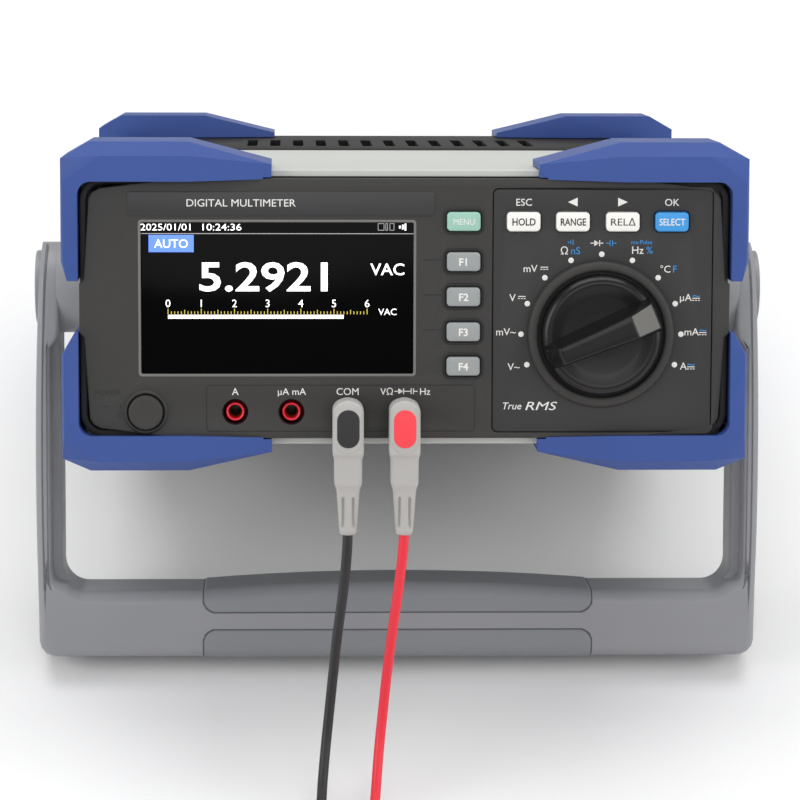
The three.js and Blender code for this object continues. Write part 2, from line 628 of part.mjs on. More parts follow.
place("black_plug", plugBody(JACK_X.common), LEAD_GREY);
place("black_plug_pin", plugPin(JACK_X.common), BRASS);
place("red_plug", plugBody(JACK_X.volt), LEAD_GREY);
place("red_plug_pin", plugPin(JACK_X.volt), BRASS);

// The tilted instrument stands on z = 0, centred front to back on the origin.
const BODY_CENTRE_Y = 129.6;
instrument.rotation.x = -TILT;
instrument.position.set(0, -BODY_CENTRE_Y, floorDrop);

const BLACK_ROUTE = [
  [-19.7, -168.1, 94.6], [-20.2, -171.3, 86], [-21.4, -173.9, 74], [-23, -175.5, 60], [-24.4, -177.5, 45],
  [-25.8, -181.5, 31], [-27.2, -188.5, 19], [-28.3, -198, 9.6], [-28.7, -209, 3.7], [-28.1, -221, 2],
  [-26.7, -232, 3], [-25.2, -241, 4.7], [-24.75, -248.2, 5.3],
];
const RED_ROUTE = [
  [-0.5, -168.1, 94.6], [-1.2, -171.3, 86], [-2.6, -173.9, 74], [-4.2, -175.5, 60], [-5.8, -177.5, 45],
  [-7.2, -181.5, 31], [-8.6, -188.5, 19], [-9.7, -198, 9.6], [-10.8, -209, 3.7], [-11.9, -221, 2],
  [-12.8, -232, 3], [-13.2, -241, 4.7], [-13.25, -248.2, 5.3],
];
place("black_cord", cordTube(BLACK_ROUTE), BLACK, root);
place("red_cord", cordTube(RED_ROUTE), RED, root);
place("black_coil", coilSolid(COIL_CENTRE.black), BLACK, root);
place("red_coil", coilSolid(COIL_CENTRE.red), RED, root);
place("black_probe", probe(COIL_CENTRE.black[0] - PROBE_X, COIL_CENTRE.black[1] - PROBE_Y, -1), BLACK, root);
place("red_probe", probe(COIL_CENTRE.red[0] + PROBE_X, COIL_CENTRE.red[1] - PROBE_Y, 1), RED, root);

export default root;
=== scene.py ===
"""A bench multimeter leaning back on its handle, with its two test leads.

The instrument is drawn in its own millimetres (x across, y back from the panel, z up from
mid height) and stood in the row's frame by stand(). Most surfaces are grids of points. Pierced
plates and lettering are filled curves, and the guards and the inlet are rounded CAD copies.
"""

import json
import math

import bmesh
import bpy
import numpy as np
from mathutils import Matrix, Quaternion, Vector


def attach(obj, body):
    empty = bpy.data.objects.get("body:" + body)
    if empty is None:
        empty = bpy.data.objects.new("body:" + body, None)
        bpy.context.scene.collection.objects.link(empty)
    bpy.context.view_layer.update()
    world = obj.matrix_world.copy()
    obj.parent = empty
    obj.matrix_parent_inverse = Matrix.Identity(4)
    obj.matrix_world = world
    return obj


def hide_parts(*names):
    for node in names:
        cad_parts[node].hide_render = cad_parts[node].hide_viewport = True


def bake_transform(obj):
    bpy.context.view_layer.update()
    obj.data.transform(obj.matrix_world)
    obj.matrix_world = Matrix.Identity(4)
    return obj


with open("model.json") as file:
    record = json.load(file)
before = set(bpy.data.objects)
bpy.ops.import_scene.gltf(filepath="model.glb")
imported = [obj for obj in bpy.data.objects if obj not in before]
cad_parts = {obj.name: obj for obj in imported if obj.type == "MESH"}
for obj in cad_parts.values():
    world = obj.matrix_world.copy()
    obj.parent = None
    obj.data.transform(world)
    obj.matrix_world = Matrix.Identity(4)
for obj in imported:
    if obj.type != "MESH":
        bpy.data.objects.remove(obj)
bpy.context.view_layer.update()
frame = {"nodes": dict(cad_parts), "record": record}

JOINTS = {joint["name"]: joint for joint in frame["record"]["behaviour"]["joints"]}
PIVOT_Y = 86.0
RIGHT = np.array([1.0, 0.0, 0.0])
BACK = np.array(JOINTS["dial_turn"]["axis"], float)
UP = np.array([0.0, -BACK[2], BACK[1]])
CORNER = np.array(JOINTS["handle_swing"]["pos_m"]) - 0.001 * PIVOT_Y * BACK

# Driving dimensions, millimetres in the instrument's frame.
PANEL_W, PANEL_H, CORNER_R = 222.0, 89.0, 8.0
WALL, BEZEL_D = 2.6, 12.0
COVER_W, COVER_H, COVER_END, REAR_END = 221.4, 94.0, 147.0, 268.0
WINDOW = dict(w=93.2, h=52.2, x=-43.6, z=3.6)
PLATE = dict(w=74.8, h=83.0, x=67.4, z=-0.7)
DIAL = dict(x=67.0, z=-8.7, ring=25.2, bore=21.6, knob=20.7)
DIAL_REST = math.radians(67.5)
KEY_W, KEY_H = 11.4, 6.4
KEY_ROW_Z = 29.9
ROW_KEYS = {"hold_key": 40.2, "range_key": 57.0, "rel_key": 74.0, "select_key": 90.8}
SOFT_X = 19.8
SOFT_KEYS = {"menu_key": 29.9, "f1_key": 16.2, "f2_key": 4.2, "f3_key": -7.8, "f4_key": -19.6}
JACK_Z = -35.4
JACKS = {"amp": -58.0, "milliamp": -38.8, "common": -19.6, "volt": -0.4}
POWER = dict(x=-88.5, z=-35.4, r=5.9)
HUB_R, ARM_OUT, ARM_IN = 16.5, 131.6, 122.6
GRIP_TOP, GRIP_BOTTOM, PAD_HALF = -110.0, -134.5, 70.7


def stand(points):
    """Instrument millimetres to metres in the row's frame: corner + x right + y back + z up."""
    p = 0.001 * np.asarray(points, float)
    return CORNER + p[..., :1] * RIGHT + p[..., 1:2] * BACK + p[..., 2:] * UP


# ---- camera and light ---------------------------------------------------------------------

FLOOR_Z = -0.0002


def aim(thing, target, roll=0.0):
    """Turn a camera or lamp so that its -Z points at the target, then roll it about that line."""
    way = Vector(target) - thing.location
    turned_to = way.to_track_quat("-Z", "Y") @ Quaternion((0.0, 0.0, 1.0), roll)
    thing.rotation_euler = turned_to.to_euler()


def add_camera():
    """A long lens in front of the panel and a little above it, tipped by a hair about its line."""
    data = bpy.data.cameras.new("camera")
    data.lens = 156.4
    data.sensor_width = 36.0
    data.clip_end = 20.0
    camera = bpy.data.objects.new("camera", data)
    camera.location = stand([-39.5, -1180.0, 110.2])
    aim(camera, stand([-1.7, 0.0, -31.3]), roll=0.018)
    bpy.context.scene.collection.objects.link(camera)
    bpy.context.scene.camera = camera


def add_lamp(name, place, target, size, power):
    """A rectangular soft box at a place in metres, turned to its target."""
    data = bpy.data.lights.new(name, "AREA")
    data.shape = "RECTANGLE"
    data.size, data.size_y = size
    data.energy = power
    lamp = bpy.data.objects.new(name, data)
    lamp.location = place
    aim(lamp, target)
    bpy.context.scene.collection.objects.link(lamp)


def add_studio():
    """A plain tone curve, a pale floor, an even sky, and four soft boxes."""
    bpy.context.scene.view_settings.view_transform = "Standard"
    world = bpy.data.worlds.new("studio")
    bpy.context.scene.world = world
    world.use_nodes = True
    sky = world.node_tree.nodes["Background"]
    sky.inputs["Color"].default_value = (1.0, 1.0, 1.0, 1.0)
    sky.inputs["Strength"].default_value = 0.46
    middle = (0.0, -0.02, 0.1)
    add_lamp("top_box", (0.0, 0.25, 1.5), middle, (1.6, 1.2), 15.0)
    add_lamp("left_box", (-1.3, -0.75, 0.75), middle, (0.9, 1.0), 8.0)
    add_lamp("right_box", (1.3, -0.65, 0.7), middle, (0.9, 1.0), 6.5)
    add_lamp("front_box", (0.15, -1.7, 1.3), middle, (1.2, 0.8), 5.0)
    half = 4.0
    floor = bpy.data.meshes.new("floor")
    corners = [(half * i, half * j, FLOOR_Z) for i, j in ((-1, -1), (1, -1), (1, 1), (-1, 1))]
    floor.from_pydata(corners, [], [(0, 1, 2, 3)])
    floor_object = bpy.data.objects.new("floor", floor)
    bpy.context.scene.collection.objects.link(floor_object)
    look = bpy.data.materials.new("floor_paper")
    look.use_nodes = True
    paper = look.node_tree.nodes["Principled BSDF"]
    paper.inputs["Base Color"].default_value = (0.93, 0.93, 0.93, 1.0)
    paper.inputs["Roughness"].default_value = 0.9
    floor.materials.append(look)


# ---- finishes -----------------------------------------------------------------------------


class Wire:
    """A shader socket that takes part in Python arithmetic; each step is a Math node."""

    def __init__(self, recipe, socket):
        self.recipe = recipe
        self.socket = socket

    def _math(self, operation, *values):
        """A Math node of that operation on the values, as a new wire."""
        node = self.recipe.node("ShaderNodeMath", dict(operation=operation), dict(enumerate(values)))
        return Wire(self.recipe, node.outputs[0])

    def __add__(self, other):
        return self._math("ADD", self, other)

    __radd__ = __add__

    def __sub__(self, other):
        return self._math("SUBTRACT", self, other)

    def __rsub__(self, other):
        return self._math("SUBTRACT", other, self)

    def __mul__(self, other):
        return self._math("MULTIPLY", self, other)

    __rmul__ = __mul__

    def __gt__(self, other):
        return self._math("GREATER_THAN", self, other)

    def clipped(self):
        """Held between 0 and 1."""
        return self._math("MAXIMUM", self._math("MINIMUM", self, 1.0), 0.0)


class Recipe:
    """One material and its node tree."""

    def __init__(self, name):
        self.material = bpy.data.materials.new(name)
        self.material.use_nodes = True
        self.tree = self.material.node_tree
        self.shader = self.tree.nodes["Principled BSDF"]
        self.place = self.node("ShaderNodeTexCoord").outputs["Object"]

    def node(self, kind, settings=None, sockets=None):
        """A node of that type, its settings made first, its sockets given values or links."""
        made = self.tree.nodes.new(kind)
        for key, value in (settings or {}).items():
            setattr(made, key, value)
        for key, value in (sockets or {}).items():
            self.feed(made.inputs[key], value)
        return made

    def feed(self, socket, value):
        """A link where the value is a wire or a socket, else the socket's own value."""
        if isinstance(value, Wire):
            value = value.socket
        if isinstance(value, bpy.types.NodeSocket):
            self.tree.links.new(value, socket)
        else:
            socket.default_value = value

    def stretched(self, scale):
        """The place with each axis scaled, for a pattern that runs one way."""
        return self.node("ShaderNodeMapping", None, {"Vector": self.place, "Scale": scale}).outputs[0]

    def noise(self, per_metre, detail=2.0, place=None):
        """Cloudy noise, about 0.5 on average, with that many features to the metre."""
        sockets = {"Vector": place or self.place, "Scale": per_metre, "Detail": detail}
        return Wire(self, self.node("ShaderNodeTexNoise", None, sockets).outputs[0])

    def cells(self, per_metre):
        """The distance to the nearest of a field of scattered points."""
        sockets = {"Vector": self.place, "Scale": per_metre}
        node = self.node("ShaderNodeTexVoronoi", dict(feature="F1"), sockets)
        return Wire(self, node.outputs["Distance"])

    def bands(self, per_metre, direction):
        """Even waves along one axis, from 0 to 1."""
        sockets = {"Vector": self.place, "Scale": per_metre, "Distortion": 0.0}
        node = self.node("ShaderNodeTexWave", dict(bands_direction=direction), sockets)
        return Wire(self, node.outputs["Fac"])

    def blend(self, first, second, factor):
        """A colour between two colours."""
        node = self.node("ShaderNodeMix", dict(data_type="RGBA"), {0: factor, 6: first, 7: second})
        return node.outputs[2]

    def relief(self, height, depth):
        """A bump of that depth in metres."""
        sockets = {"Height": height, "Distance": depth, "Strength": 1.0}
        return self.node("ShaderNodeBump", None, sockets).outputs[0]

    def paint(self, **sockets):
        """Feed the shader's sockets; underscores in a name stand for spaces."""
        for key, value in sockets.items():
            self.feed(self.shader.inputs[key.replace("_", " ")], value)
        return self.material


def tone(hexcode, gain=1.0):
    """A screen colour, as in a paint chart, in linear light."""
    parts = [int(hexcode[i : i + 2], 16) / 255 for i in (0, 2, 4)]
    linear = [p / 12.92 if p < 0.04 else ((p + 0.055) / 1.055) ** 2.4 for p in parts]
    return (*[min(1.0, gain * p) for p in linear], 1.0)


def moulded(name, colour, roughness=0.5, grain=0.3, depth=0.012, drift=0.12, **fixed):
    """Moulded plastic or rubber: fine grain, a slow drift of tone, and handled patches."""
    m = Recipe(name)
    slow = m.noise(28.0, 3.0)
    fine = m.noise(1000.0 / grain, 2.0)
    speck = m.cells(700.0 / grain)
    shade = (slow * 0.7 + fine * 0.3).clipped()
    dark, light = tone(colour, 1.0 - drift), tone(colour, 1.0 + drift)
    height = fine * 0.6 + speck * 0.4
    return m.paint(
        Base_Color=m.blend(dark, light, shade),
        Roughness=(slow - 0.5) * 0.16 + (fine - 0.5) * 0.08 + roughness,
        Normal=m.relief(height, 0.001 * depth),
        **fixed,
    )


def painted(name, colour, roughness, peel, depth, drift=0.05, **fixed):
    """Sprayed paint: orange peel of the given size in millimetres, and a slow drift of tone."""
    m = Recipe(name)
    slow = m.noise(14.0, 3.0)
    skin = m.noise(1000.0 / peel, 1.0)
    fine = m.noise(6000.0, 1.0)
    return m.paint(
        Base_Color=m.blend(tone(colour, 1 - drift), tone(colour, 1 + drift), slow),
        Roughness=(skin - 0.5) * 0.12 + (slow - 0.5) * 0.1 + roughness,
        Normal=m.relief(skin * 0.8 + fine * 0.2, 0.001 * depth),
        **fixed,
    )


def gloss(name, colour, roughness=0.12, smudge=0.14, **fixed):
    """A polished face with faint finger smudges and a slight waviness."""
    m = Recipe(name)
    touch = m.noise(55.0, 4.0)
    fine = m.noise(900.0, 2.0)
    return m.paint(
        Base_Color=m.blend(tone(colour, 0.9), tone(colour, 1.12), touch),
        Roughness=touch * smudge + (fine - 0.5) * 0.04 + roughness,
        Normal=m.relief(m.noise(160.0, 1.0), 0.00001),
        **fixed,
    )


def metal(name, colour, roughness, along=(60.0, 60.0, 3000.0)):
    """Bare metal with fine drawing lines along one axis."""
    m = Recipe(name)
    lines = m.noise(1.0, 3.0, m.stretched(along))
    slow = m.noise(120.0, 2.0)
    return m.paint(
        Base_Color=m.blend(tone(colour, 0.8), tone(colour, 1.1), lines),
        Roughness=(lines - 0.5) * 0.2 + slow * 0.1 + roughness,
        Metallic=1.0,
        Normal=m.relief(lines, 0.00002),
    )


def printed(name, colour, glow=0.0):
    """Screen-printed ink, a little uneven at its own scale."""
    m = Recipe(name)
    ink = m.noise(2500.0, 2.0)
    material = m.paint(
        Base_Color=m.blend(tone(colour, 0.88), tone(colour), ink),
        Roughness=ink * 0.2 + 0.4,
        Normal=m.relief(ink, 0.00001),
    )
    if glow:
        m.paint(Emission_Color=m.blend(tone(colour, 0.9), tone(colour), ink), Emission_Strength=glow)
    return material


def circuit_board(name):
    """Solder mask over copper: straight runs in two directions, pads as spots."""
    m = Recipe(name)
    runs = m.bands(90.0, "X") * m.bands(60.0, "Y")
    pads = m.cells(190.0)
    copper = ((runs > 0.55) + (0.12 - pads > 0.0)).clipped()
    return m.paint(
        Base_Color=m.blend(tone("1b5236"), tone("3c8457"), copper),
        Roughness=0.45 - copper * 0.1,
        Normal=m.relief(copper, 0.00004),
    )


def laminations(name):
    """Stacked core plates, seen on edge as fine dark lines, with varnish drift."""
    m = Recipe(name)
    plates = m.bands(320.0, "X")
    slow = m.noise(60.0, 3.0)
    return m.paint(
        Base_Color=m.blend(tone("55504a"), tone("a8a49c"), (plates * 0.7 + slow * 0.3).clipped()),
        Roughness=slow * 0.2 + 0.35,
        Metallic=0.8,
        Normal=m.relief(plates, 0.00008),
    )


def add_finishes():
    """Every finish by its short name: plastics, rubbers, paints, metals, inks, lit figures and two painted
    shades.
    """
    made = dict(
        charcoal=moulded("charcoal_plastic", "393837", 0.5, grain=0.35, depth=0.02, Specular_IOR_Level=0.3),
        plate=moulded("plate_plastic", "353535", 0.45, grain=0.3, depth=0.012, Specular_IOR_Level=0.3),
        strip=moulded("strip_plastic", "2d2d2f", 0.38, grain=0.25, depth=0.008),
        border=moulded("border_plastic", "6f6e6b", 0.4, grain=0.3, depth=0.01),
        # Near-black painted shade, put on the floors of recesses, grooves and slots where shade falls; not a
        # plastic of that colour.
        painted_shade=moulded("painted_shade_black", "161616", 0.55, grain=0.3, depth=0.01),
        knob=gloss(
            "knob_black", "0b0b0c", 0.24, 0.16, Specular_IOR_Level=0.35, Coat_Weight=0.12, Coat_Roughness=0.12
        ),
        pointer=moulded("pointer_grey", "656460", 0.4, grain=0.25, depth=0.01),
        black=moulded("black_plastic", "1a1a1c", 0.45, grain=0.3, depth=0.012),
        guard=moulded(
            "guard_rubber", "364f92", 0.5, grain=0.45, depth=0.02, drift=0.08, Specular_IOR_Level=0.35
        ),
        cover=painted("cover_paint", "c3c5c0", 0.42, peel=0.9, depth=0.01),
        case=painted("case_paint", "1c1b1a", 0.6, peel=0.5, depth=0.05, drift=0.15, Specular_IOR_Level=0.2),
        handle=moulded("handle_plastic", "8b8c90", 0.42, grain=0.4, depth=0.02, drift=0.06),
        pad=moulded("grip_rubber", "7e8185", 0.6, grain=0.5, depth=0.03, drift=0.07),
        # Darker grey used only under the grip pads, as painted shade of the grooves round them.
        seam=moulded("painted_pad_groove_shade", "4c4e51", 0.7, grain=0.3, depth=0.01),
        ivory=moulded("ivory_key", "f1efea", 0.35, grain=0.25, depth=0.006, drift=0.03),
        grey=moulded("grey_key", "969a9a", 0.38, grain=0.25, depth=0.006, drift=0.05),
        mint=moulded("mint_key", "98c4b4", 0.38, grain=0.25, depth=0.006, drift=0.05),
        sky=moulded("blue_key", "3b97dc", 0.36, grain=0.25, depth=0.006, drift=0.05),
        glass=gloss("display_glass", "020203", 0.1, 0.06, Specular_IOR_Level=0.06),
        red=gloss("socket_red", "e3223a", 0.25, 0.1),
        socket=gloss("socket_black", "0c0c0d", 0.22, 0.12),
        plug=moulded("plug_rubber", "b0aeab", 0.55, grain=0.3, depth=0.015, drift=0.05),
        inlay_black=moulded("inlay_black", "242426", 0.6, grain=0.3, depth=0.02),
        inlay_red=moulded("inlay_red", "f5404c", 0.5, grain=0.3, depth=0.015, drift=0.04),
        cord_black=moulded("lead_black", "202022", 0.42, grain=0.4, depth=0.012),
        cord_red=moulded("lead_red", "e8283c", 0.4, grain=0.4, depth=0.012, drift=0.06),
        brass=metal("socket_brass", "c8a55a", 0.28),
        nickel=metal("nickel_steel", "c9cbcd", 0.3),
        pressed=metal("pressed_steel", "b2b4b6", 0.38, (3000.0, 60.0, 60.0)),
        board=circuit_board("solder_mask"),
        core=laminations("transformer_core"),
        white_ink=printed("white_ink", "eceae6"),
        faint_ink=printed("faint_ink", "191919"),
        dark_ink=printed("dark_ink", "2b2a2a"),
        blue_ink=printed("blue_ink", "2f8fd6"),
        lit_white=printed("lit_white", "ffffff", 1.1),
        lit_blue=printed("lit_blue", "5c83f0", 0.8),
        lit_yellow=printed("lit_yellow", "c9b548", 0.6),
        lit_grey=printed("lit_grey", "a7a8a6", 0.3),
    )
    return made


# ---- surfaces -----------------------------------------------------------------------------


def round_rect(w, h, r, x=0.0, z=0.0, steps=8):
    """Four quarter arcs of radius r about the inset corners, anticlockwise, as (x, z) rows."""
    turn = np.linspace(0.0, 90.0, steps + 1)
    angle = np.radians((turn + 90.0 * np.arange(4)[:, None]).ravel())
    centre_x = np.repeat([1, -1, -1, 1], steps + 1) * (w / 2 - r)
    centre_z = np.repeat([1, 1, -1, -1], steps + 1) * (h / 2 - r)
    return np.c_[x + centre_x + r * np.cos(angle), z + centre_z + r * np.sin(angle)]


def circle(r, x=0.0, z=0.0, count=48):
    """Radius r about (x, z)."""
    angle = np.linspace(0.0, 2 * np.pi, count, endpoint=False)
    return np.c_[x + r * np.cos(angle), z + r * np.sin(angle)]


def inset(ring, distance):
    """Every side of a closed anticlockwise ring moved inwards, with mitred corners."""
    before = ring - np.roll(ring, 1, 0)
    after = np.roll(ring, -1, 0) - ring
    before /= np.linalg.norm(before, axis=1)[:, None]
    after /= np.linalg.norm(after, axis=1)[:, None]
    n0 = np.c_[-before[:, 1], before[:, 0]]
    n1 = np.c_[-after[:, 1], after[:, 0]]
    reach = 1.0 + (n0 * n1).sum(1)
    return ring + distance * (n0 + n1) / reach[:, None]


def at_depth(ring, y):
    """A panel ring set at depth y."""
    return np.c_[ring[:, 0], np.full(len(ring), float(y)), ring[:, 1]]


def patch(grid, along=False):
    """A grid of points as quads, each row closed on itself.

    along joins the last row to the first; without it the first and last rows are capped.
    """
    rows, columns = grid.shape[:2]
    index = np.arange(rows * columns).reshape(rows, columns)
    index = np.c_[index, index[:, :1]]
    if along:
        index = np.r_[index, index[:1]]
    quads = np.stack([index[:-1, :-1], index[:-1, 1:], index[1:, 1:], index[1:, :-1]], -1).reshape(-1, 4)
    faces = quads.tolist()
    if not along:
        faces.append(list(range(columns))[::-1])
        faces.append(list(range((rows - 1) * columns, rows * columns)))
    return grid.reshape(-1, 3), faces


def soft_edge(edge, steps=3):
    """Rows of (inset, run) round a quarter arc, from a flat face to a side wall."""
    t = np.linspace(0.0, np.pi / 2, steps + 1)
    return np.c_[edge * (1 - np.sin(t)), edge * (1 - np.cos(t))]


def prism(ring, y0, y1, edge=0.4, far_edge=0.2):
    """A ring carried from y0 to y1, both ends rounded over by quarter arcs."""
    near = [at_depth(inset(ring, d), y0 + run) for d, run in soft_edge(edge)]
    far = [at_depth(inset(ring, d), y1 - run) for d, run in soft_edge(far_edge)[::-1]]
    return patch(np.stack(near + far))


def sleeve(outer, inner, y0, y1, edge=0.4, far_edge=0.2):
    """A closed wall between two rings: out along the outer one, back along the inner one."""
    near = soft_edge(edge)
    far = soft_edge(far_edge)
    rows = [at_depth(inset(outer, d), y0 + run) for d, run in near]
    rows += [at_depth(inset(outer, d), y1 - run) for d, run in far[::-1]]
    rows += [at_depth(inset(inner, -d), y1 - run) for d, run in far]
    rows += [at_depth(inset(inner, -d), y0 + run) for d, run in near[::-1]]
    return patch(np.stack(rows), along=True)


def turned(profile, x, z, count=64, closed=False):
    """A profile of (radius, y) turned about the axis through (x, z)."""
    profile = np.asarray(profile, float)
    angle = np.linspace(0.0, 2 * np.pi, count, endpoint=False)
    r = np.maximum(profile[:, :1], 1e-3)
    px = x + r * np.cos(angle)
    pz = z + r * np.sin(angle)
    py = np.repeat(profile[:, 1:], count, 1)
    return patch(np.stack([px, py, pz], -1), along=closed)


def smoothed(points, spacing, rounds=2):
    """A polyline with its inner corners cut, so that an edge is a small arc."""
    points = np.asarray(points, float)
    for _ in range(rounds):
        a, b = points[:-1], points[1:]
        length = np.linalg.norm(b - a, axis=1)[:, None]
        share = np.minimum(0.25, spacing / np.maximum(length, 1e-6))
        cut = np.stack([a + share * (b - a), b - share * (b - a)], 1).reshape(-1, points.shape[1])
        points = np.vstack([points[:1], cut[1:-1], points[-1:]])
        spacing *= 0.5
    return points


def ease(t):
    """0 before 0, 1 after 1, a cubic S between."""
    t = np.clip(t, 0.0, 1.0)
    return t * t * (3 - 2 * t)


# ---- pieces -------------------------------------------------------------------------------


def joined(patches):
    """Patches as one array of points and one list of faces, numbered on from patch to patch."""
    points, faces, start = [], [], 0
    for part_points, part_faces in patches:
        points.append(part_points)
        faces += [[start + i for i in face] for face in part_faces]
        start += len(part_points)
    return np.vstack(points), faces


def piece(name, patches, finish, body, nodes=(), place=stand, sharp=35.0):
    """One mesh of all the patches, set in the row's frame, that rides on a body."""
    mesh = bpy.data.meshes.new(name)
    points, faces = joined(patches)
    mesh.from_pydata(place(points), [], faces)
    return finish_mesh(name, mesh, finish, body, nodes, sharp)


def finish_mesh(name, mesh, finish, body, nodes=(), sharp=35.0, recalc=True):
    """Merge doubles, turn faces outwards, shade smooth up to the sharp angle, and ride.

    With no body the mesh is left free.
    """
    work = bmesh.new()
    work.from_mesh(mesh)
    bmesh.ops.remove_doubles(work, verts=work.verts, dist=1e-6)
    bmesh.ops.dissolve_degenerate(work, edges=work.edges, dist=1e-7)
    if recalc:
        bmesh.ops.recalc_face_normals(work, faces=work.faces)
    work.to_mesh(mesh)
    work.free()
    mesh.polygons.foreach_set("use_smooth", np.ones(len(mesh.polygons), bool))
    mesh.set_sharp_from_angle(angle=math.radians(sharp))
    mesh.materials.clear()
    mesh.materials.append(FINISH[finish])
    made = bpy.data.objects.new(name, mesh)
    bpy.context.scene.collection.objects.link(made)
    if body:
        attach(made, body)
    if nodes:
        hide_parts(*nodes)
    return made


def cut_plate(name, outlines, y0, y1, edge):
    """A flat plate whose first outline is its rim and whose others are holes, edges rounded."""
    curve = bpy.data.curves.new(name, "CURVE")
    curve.dimensions = "2D"
    curve.fill_mode = "BOTH"
    curve.extrude = (y1 - y0) / 2 - edge
    curve.bevel_depth = edge
    curve.bevel_resolution = 2
    curve.offset = -edge
    for ring in outlines:
        spline = curve.splines.new("POLY")
        spline.points.add(len(ring) - 1)
        spline.points.foreach_set("co", np.c_[ring, np.zeros(len(ring)), np.ones(len(ring))].ravel())
        spline.use_cyclic_u = True
    points, faces = flat_mesh(curve)
    middle = (y0 + y1) / 2
    return np.c_[points[:, 0], middle - points[:, 2], points[:, 1]], faces


def flat_mesh(curve):
    """The filled curve or text as points and faces."""
    holder = bpy.data.objects.new("flat", curve)
    bpy.context.scene.collection.objects.link(holder)
    bpy.context.view_layer.update()
    graph = bpy.context.evaluated_depsgraph_get()
    mesh = bpy.data.meshes.new_from_object(holder.evaluated_get(graph))
    points = np.empty(len(mesh.vertices) * 3)
    mesh.vertices.foreach_get("co", points)
    faces = [list(face.vertices) for face in mesh.polygons]
    bpy.data.meshes.remove(mesh)
    bpy.data.objects.remove(holder)
    bpy.data.curves.remove(curve)
    return points.reshape(-1, 3), faces


INK = 0.03
CAP_HEIGHT = 0.727


def words(text, x, z, height, y, bold=0.0, align="CENTER", slant=0.0, width=None):
    """Lettering of that cap height centred on z, standing INK proud of depth y."""
    curve = bpy.data.curves.new("words", "FONT")
    curve.body = text
    curve.align_x = align
    curve.size = height / CAP_HEIGHT
    curve.offset = bold * height
    curve.extrude = INK
    curve.resolution_u = 3
    curve.shear = slant
    points, faces = flat_mesh(curve)
    if width:
        span = points[:, 0].max() - points[:, 0].min()
        points[:, 0] *= width / span
    return np.c_[x + points[:, 0], y - points[:, 2], z - height / 2 + points[:, 1]], faces


def tile(ring, y):
    """A printed area: a thin prism from a ring."""
    return prism(np.asarray(ring, float), y - INK, y + INK, 0.01, 0.01)


def bar(x0, x1, z0, z1, y):
    """A printed rectangle."""
    return tile([(x0, z0), (x1, z0), (x1, z1), (x0, z1)], y)


def refined(name, node, finish, body, width=0.7, segments=3, angle=20.0):
    """A copy of the CAD node with flat faces joined and its edges rounded over."""
    mesh = frame["nodes"][node].data.copy()
    mesh.name = name
    work = bmesh.new()
    work.from_mesh(mesh)
    bmesh.ops.remove_doubles(work, verts=work.verts, dist=2e-6)
    limit = math.radians(0.6)
    bmesh.ops.dissolve_limit(work, angle_limit=limit, verts=work.verts, edges=work.edges)
    work.to_mesh(mesh)
    work.free()
    made = finish_mesh(name, mesh, finish, body, (node,), recalc=False)
    bevel = made.modifiers.new("edges", "BEVEL")
    bevel.width = 0.001 * width
    bevel.segments = segments
    bevel.limit_method = "ANGLE"
    bevel.angle_limit = math.radians(angle)
    bevel.harden_normals = True
    return made


# ---- front panel --------------------------------------------------------------------------

KEY_FACE = -1.6
KEY_CROWN = 0.1
LENS_FACE = 0.5


def mirrored(quadrant):
    """A closed anticlockwise ring from its points in the first quadrant, right to top."""
    q = np.asarray(quadrant, float)
    return np.vstack([q, q[::-1] * [-1, 1], q * [-1, -1], q[::-1] * [1, -1]])


def key_opening(x, z, grow):
    """A key's outline about (x, z), wider and taller by grow."""
    return round_rect(KEY_W + grow, KEY_H + grow, 1.3 + grow / 2, x, z, 4)


def front_bezel():
    """A pierced face, a wall behind its relieved outline, and the full rim further back."""
    relief = mirrored([(111, 8.4), (109.4, 10), (107.6, 37.6), (106.4, 39.6), (104, 41.0), (77.6, 44.5)])
    holes = [round_rect(WINDOW["w"] + 0.6, WINDOW["h"] + 0.6, 1.0, WINDOW["x"], WINDOW["z"], 4)]
    holes.append(round_rect(PLATE["w"] + 0.6, PLATE["h"] + 0.6, 2.0, PLATE["x"], PLATE["z"], 5))
    holes.append(circle(POWER["r"] + 0.4, POWER["x"], POWER["z"]))
    holes += [circle(4.35, x, JACK_Z) for x in JACKS.values()]
    holes += [key_opening(SOFT_X, z, 0.8) for z in SOFT_KEYS.values()]
    face = cut_plate("face", [relief] + holes, 0.0, WALL, 0.45)
    wall = sleeve(inset(relief, 0.1), inset(relief, 2.2), 1.2, 5.6, 0.1)
    rim = sleeve(
        round_rect(PANEL_W, PANEL_H, CORNER_R, steps=10),
        round_rect(PANEL_W - 5, PANEL_H - 5, CORNER_R - 2.5, steps=10),
        5.0,
        BEZEL_D,
        0.6,
    )
    piece("front_bezel_shell", [face, wall, rim], "charcoal", "case", ["front_bezel"])


def control_plate():
    """A flat plate on the right, pierced for the dial's ring and the four keys of the row."""
    outlines = [round_rect(PLATE["w"], PLATE["h"], 1.7, PLATE["x"], PLATE["z"], 5)]
    outlines.append(circle(DIAL["ring"] - 0.3, DIAL["x"], DIAL["z"], 72))
    outlines += [key_opening(x, KEY_ROW_Z, 0.8) for x in ROW_KEYS.values()]
    plate = cut_plate("plate", outlines, 0.1, 2.2, 0.3)
    piece("control_plate_face", [plate], "plate", "case", ["control_plate"])


def plate_seat():
    """The ledge that the control plate lies on, seen as the groove round it; its near-black colour is painted
    shade.
    """
    outer = round_rect(PLATE["w"] + 5, PLATE["h"] + 5, 3.0, PLATE["x"], PLATE["z"], 5)
    inner = round_rect(PLATE["w"] - 4, PLATE["h"] - 4, 1.7, PLATE["x"], PLATE["z"], 5)
    piece("control_plate_seat", [sleeve(outer, inner, 2.65, 3.4, 0.1)], "painted_shade", "case")


def name_strip():
    """A thin bar with rounded edges across the top left of the face."""
    strip = prism(round_rect(104.4, 8.2, 0.9, -42.3, 35.8, 5), -0.3, 0.8, 0.22)
    piece("name_strip", [strip], "strip", "case")


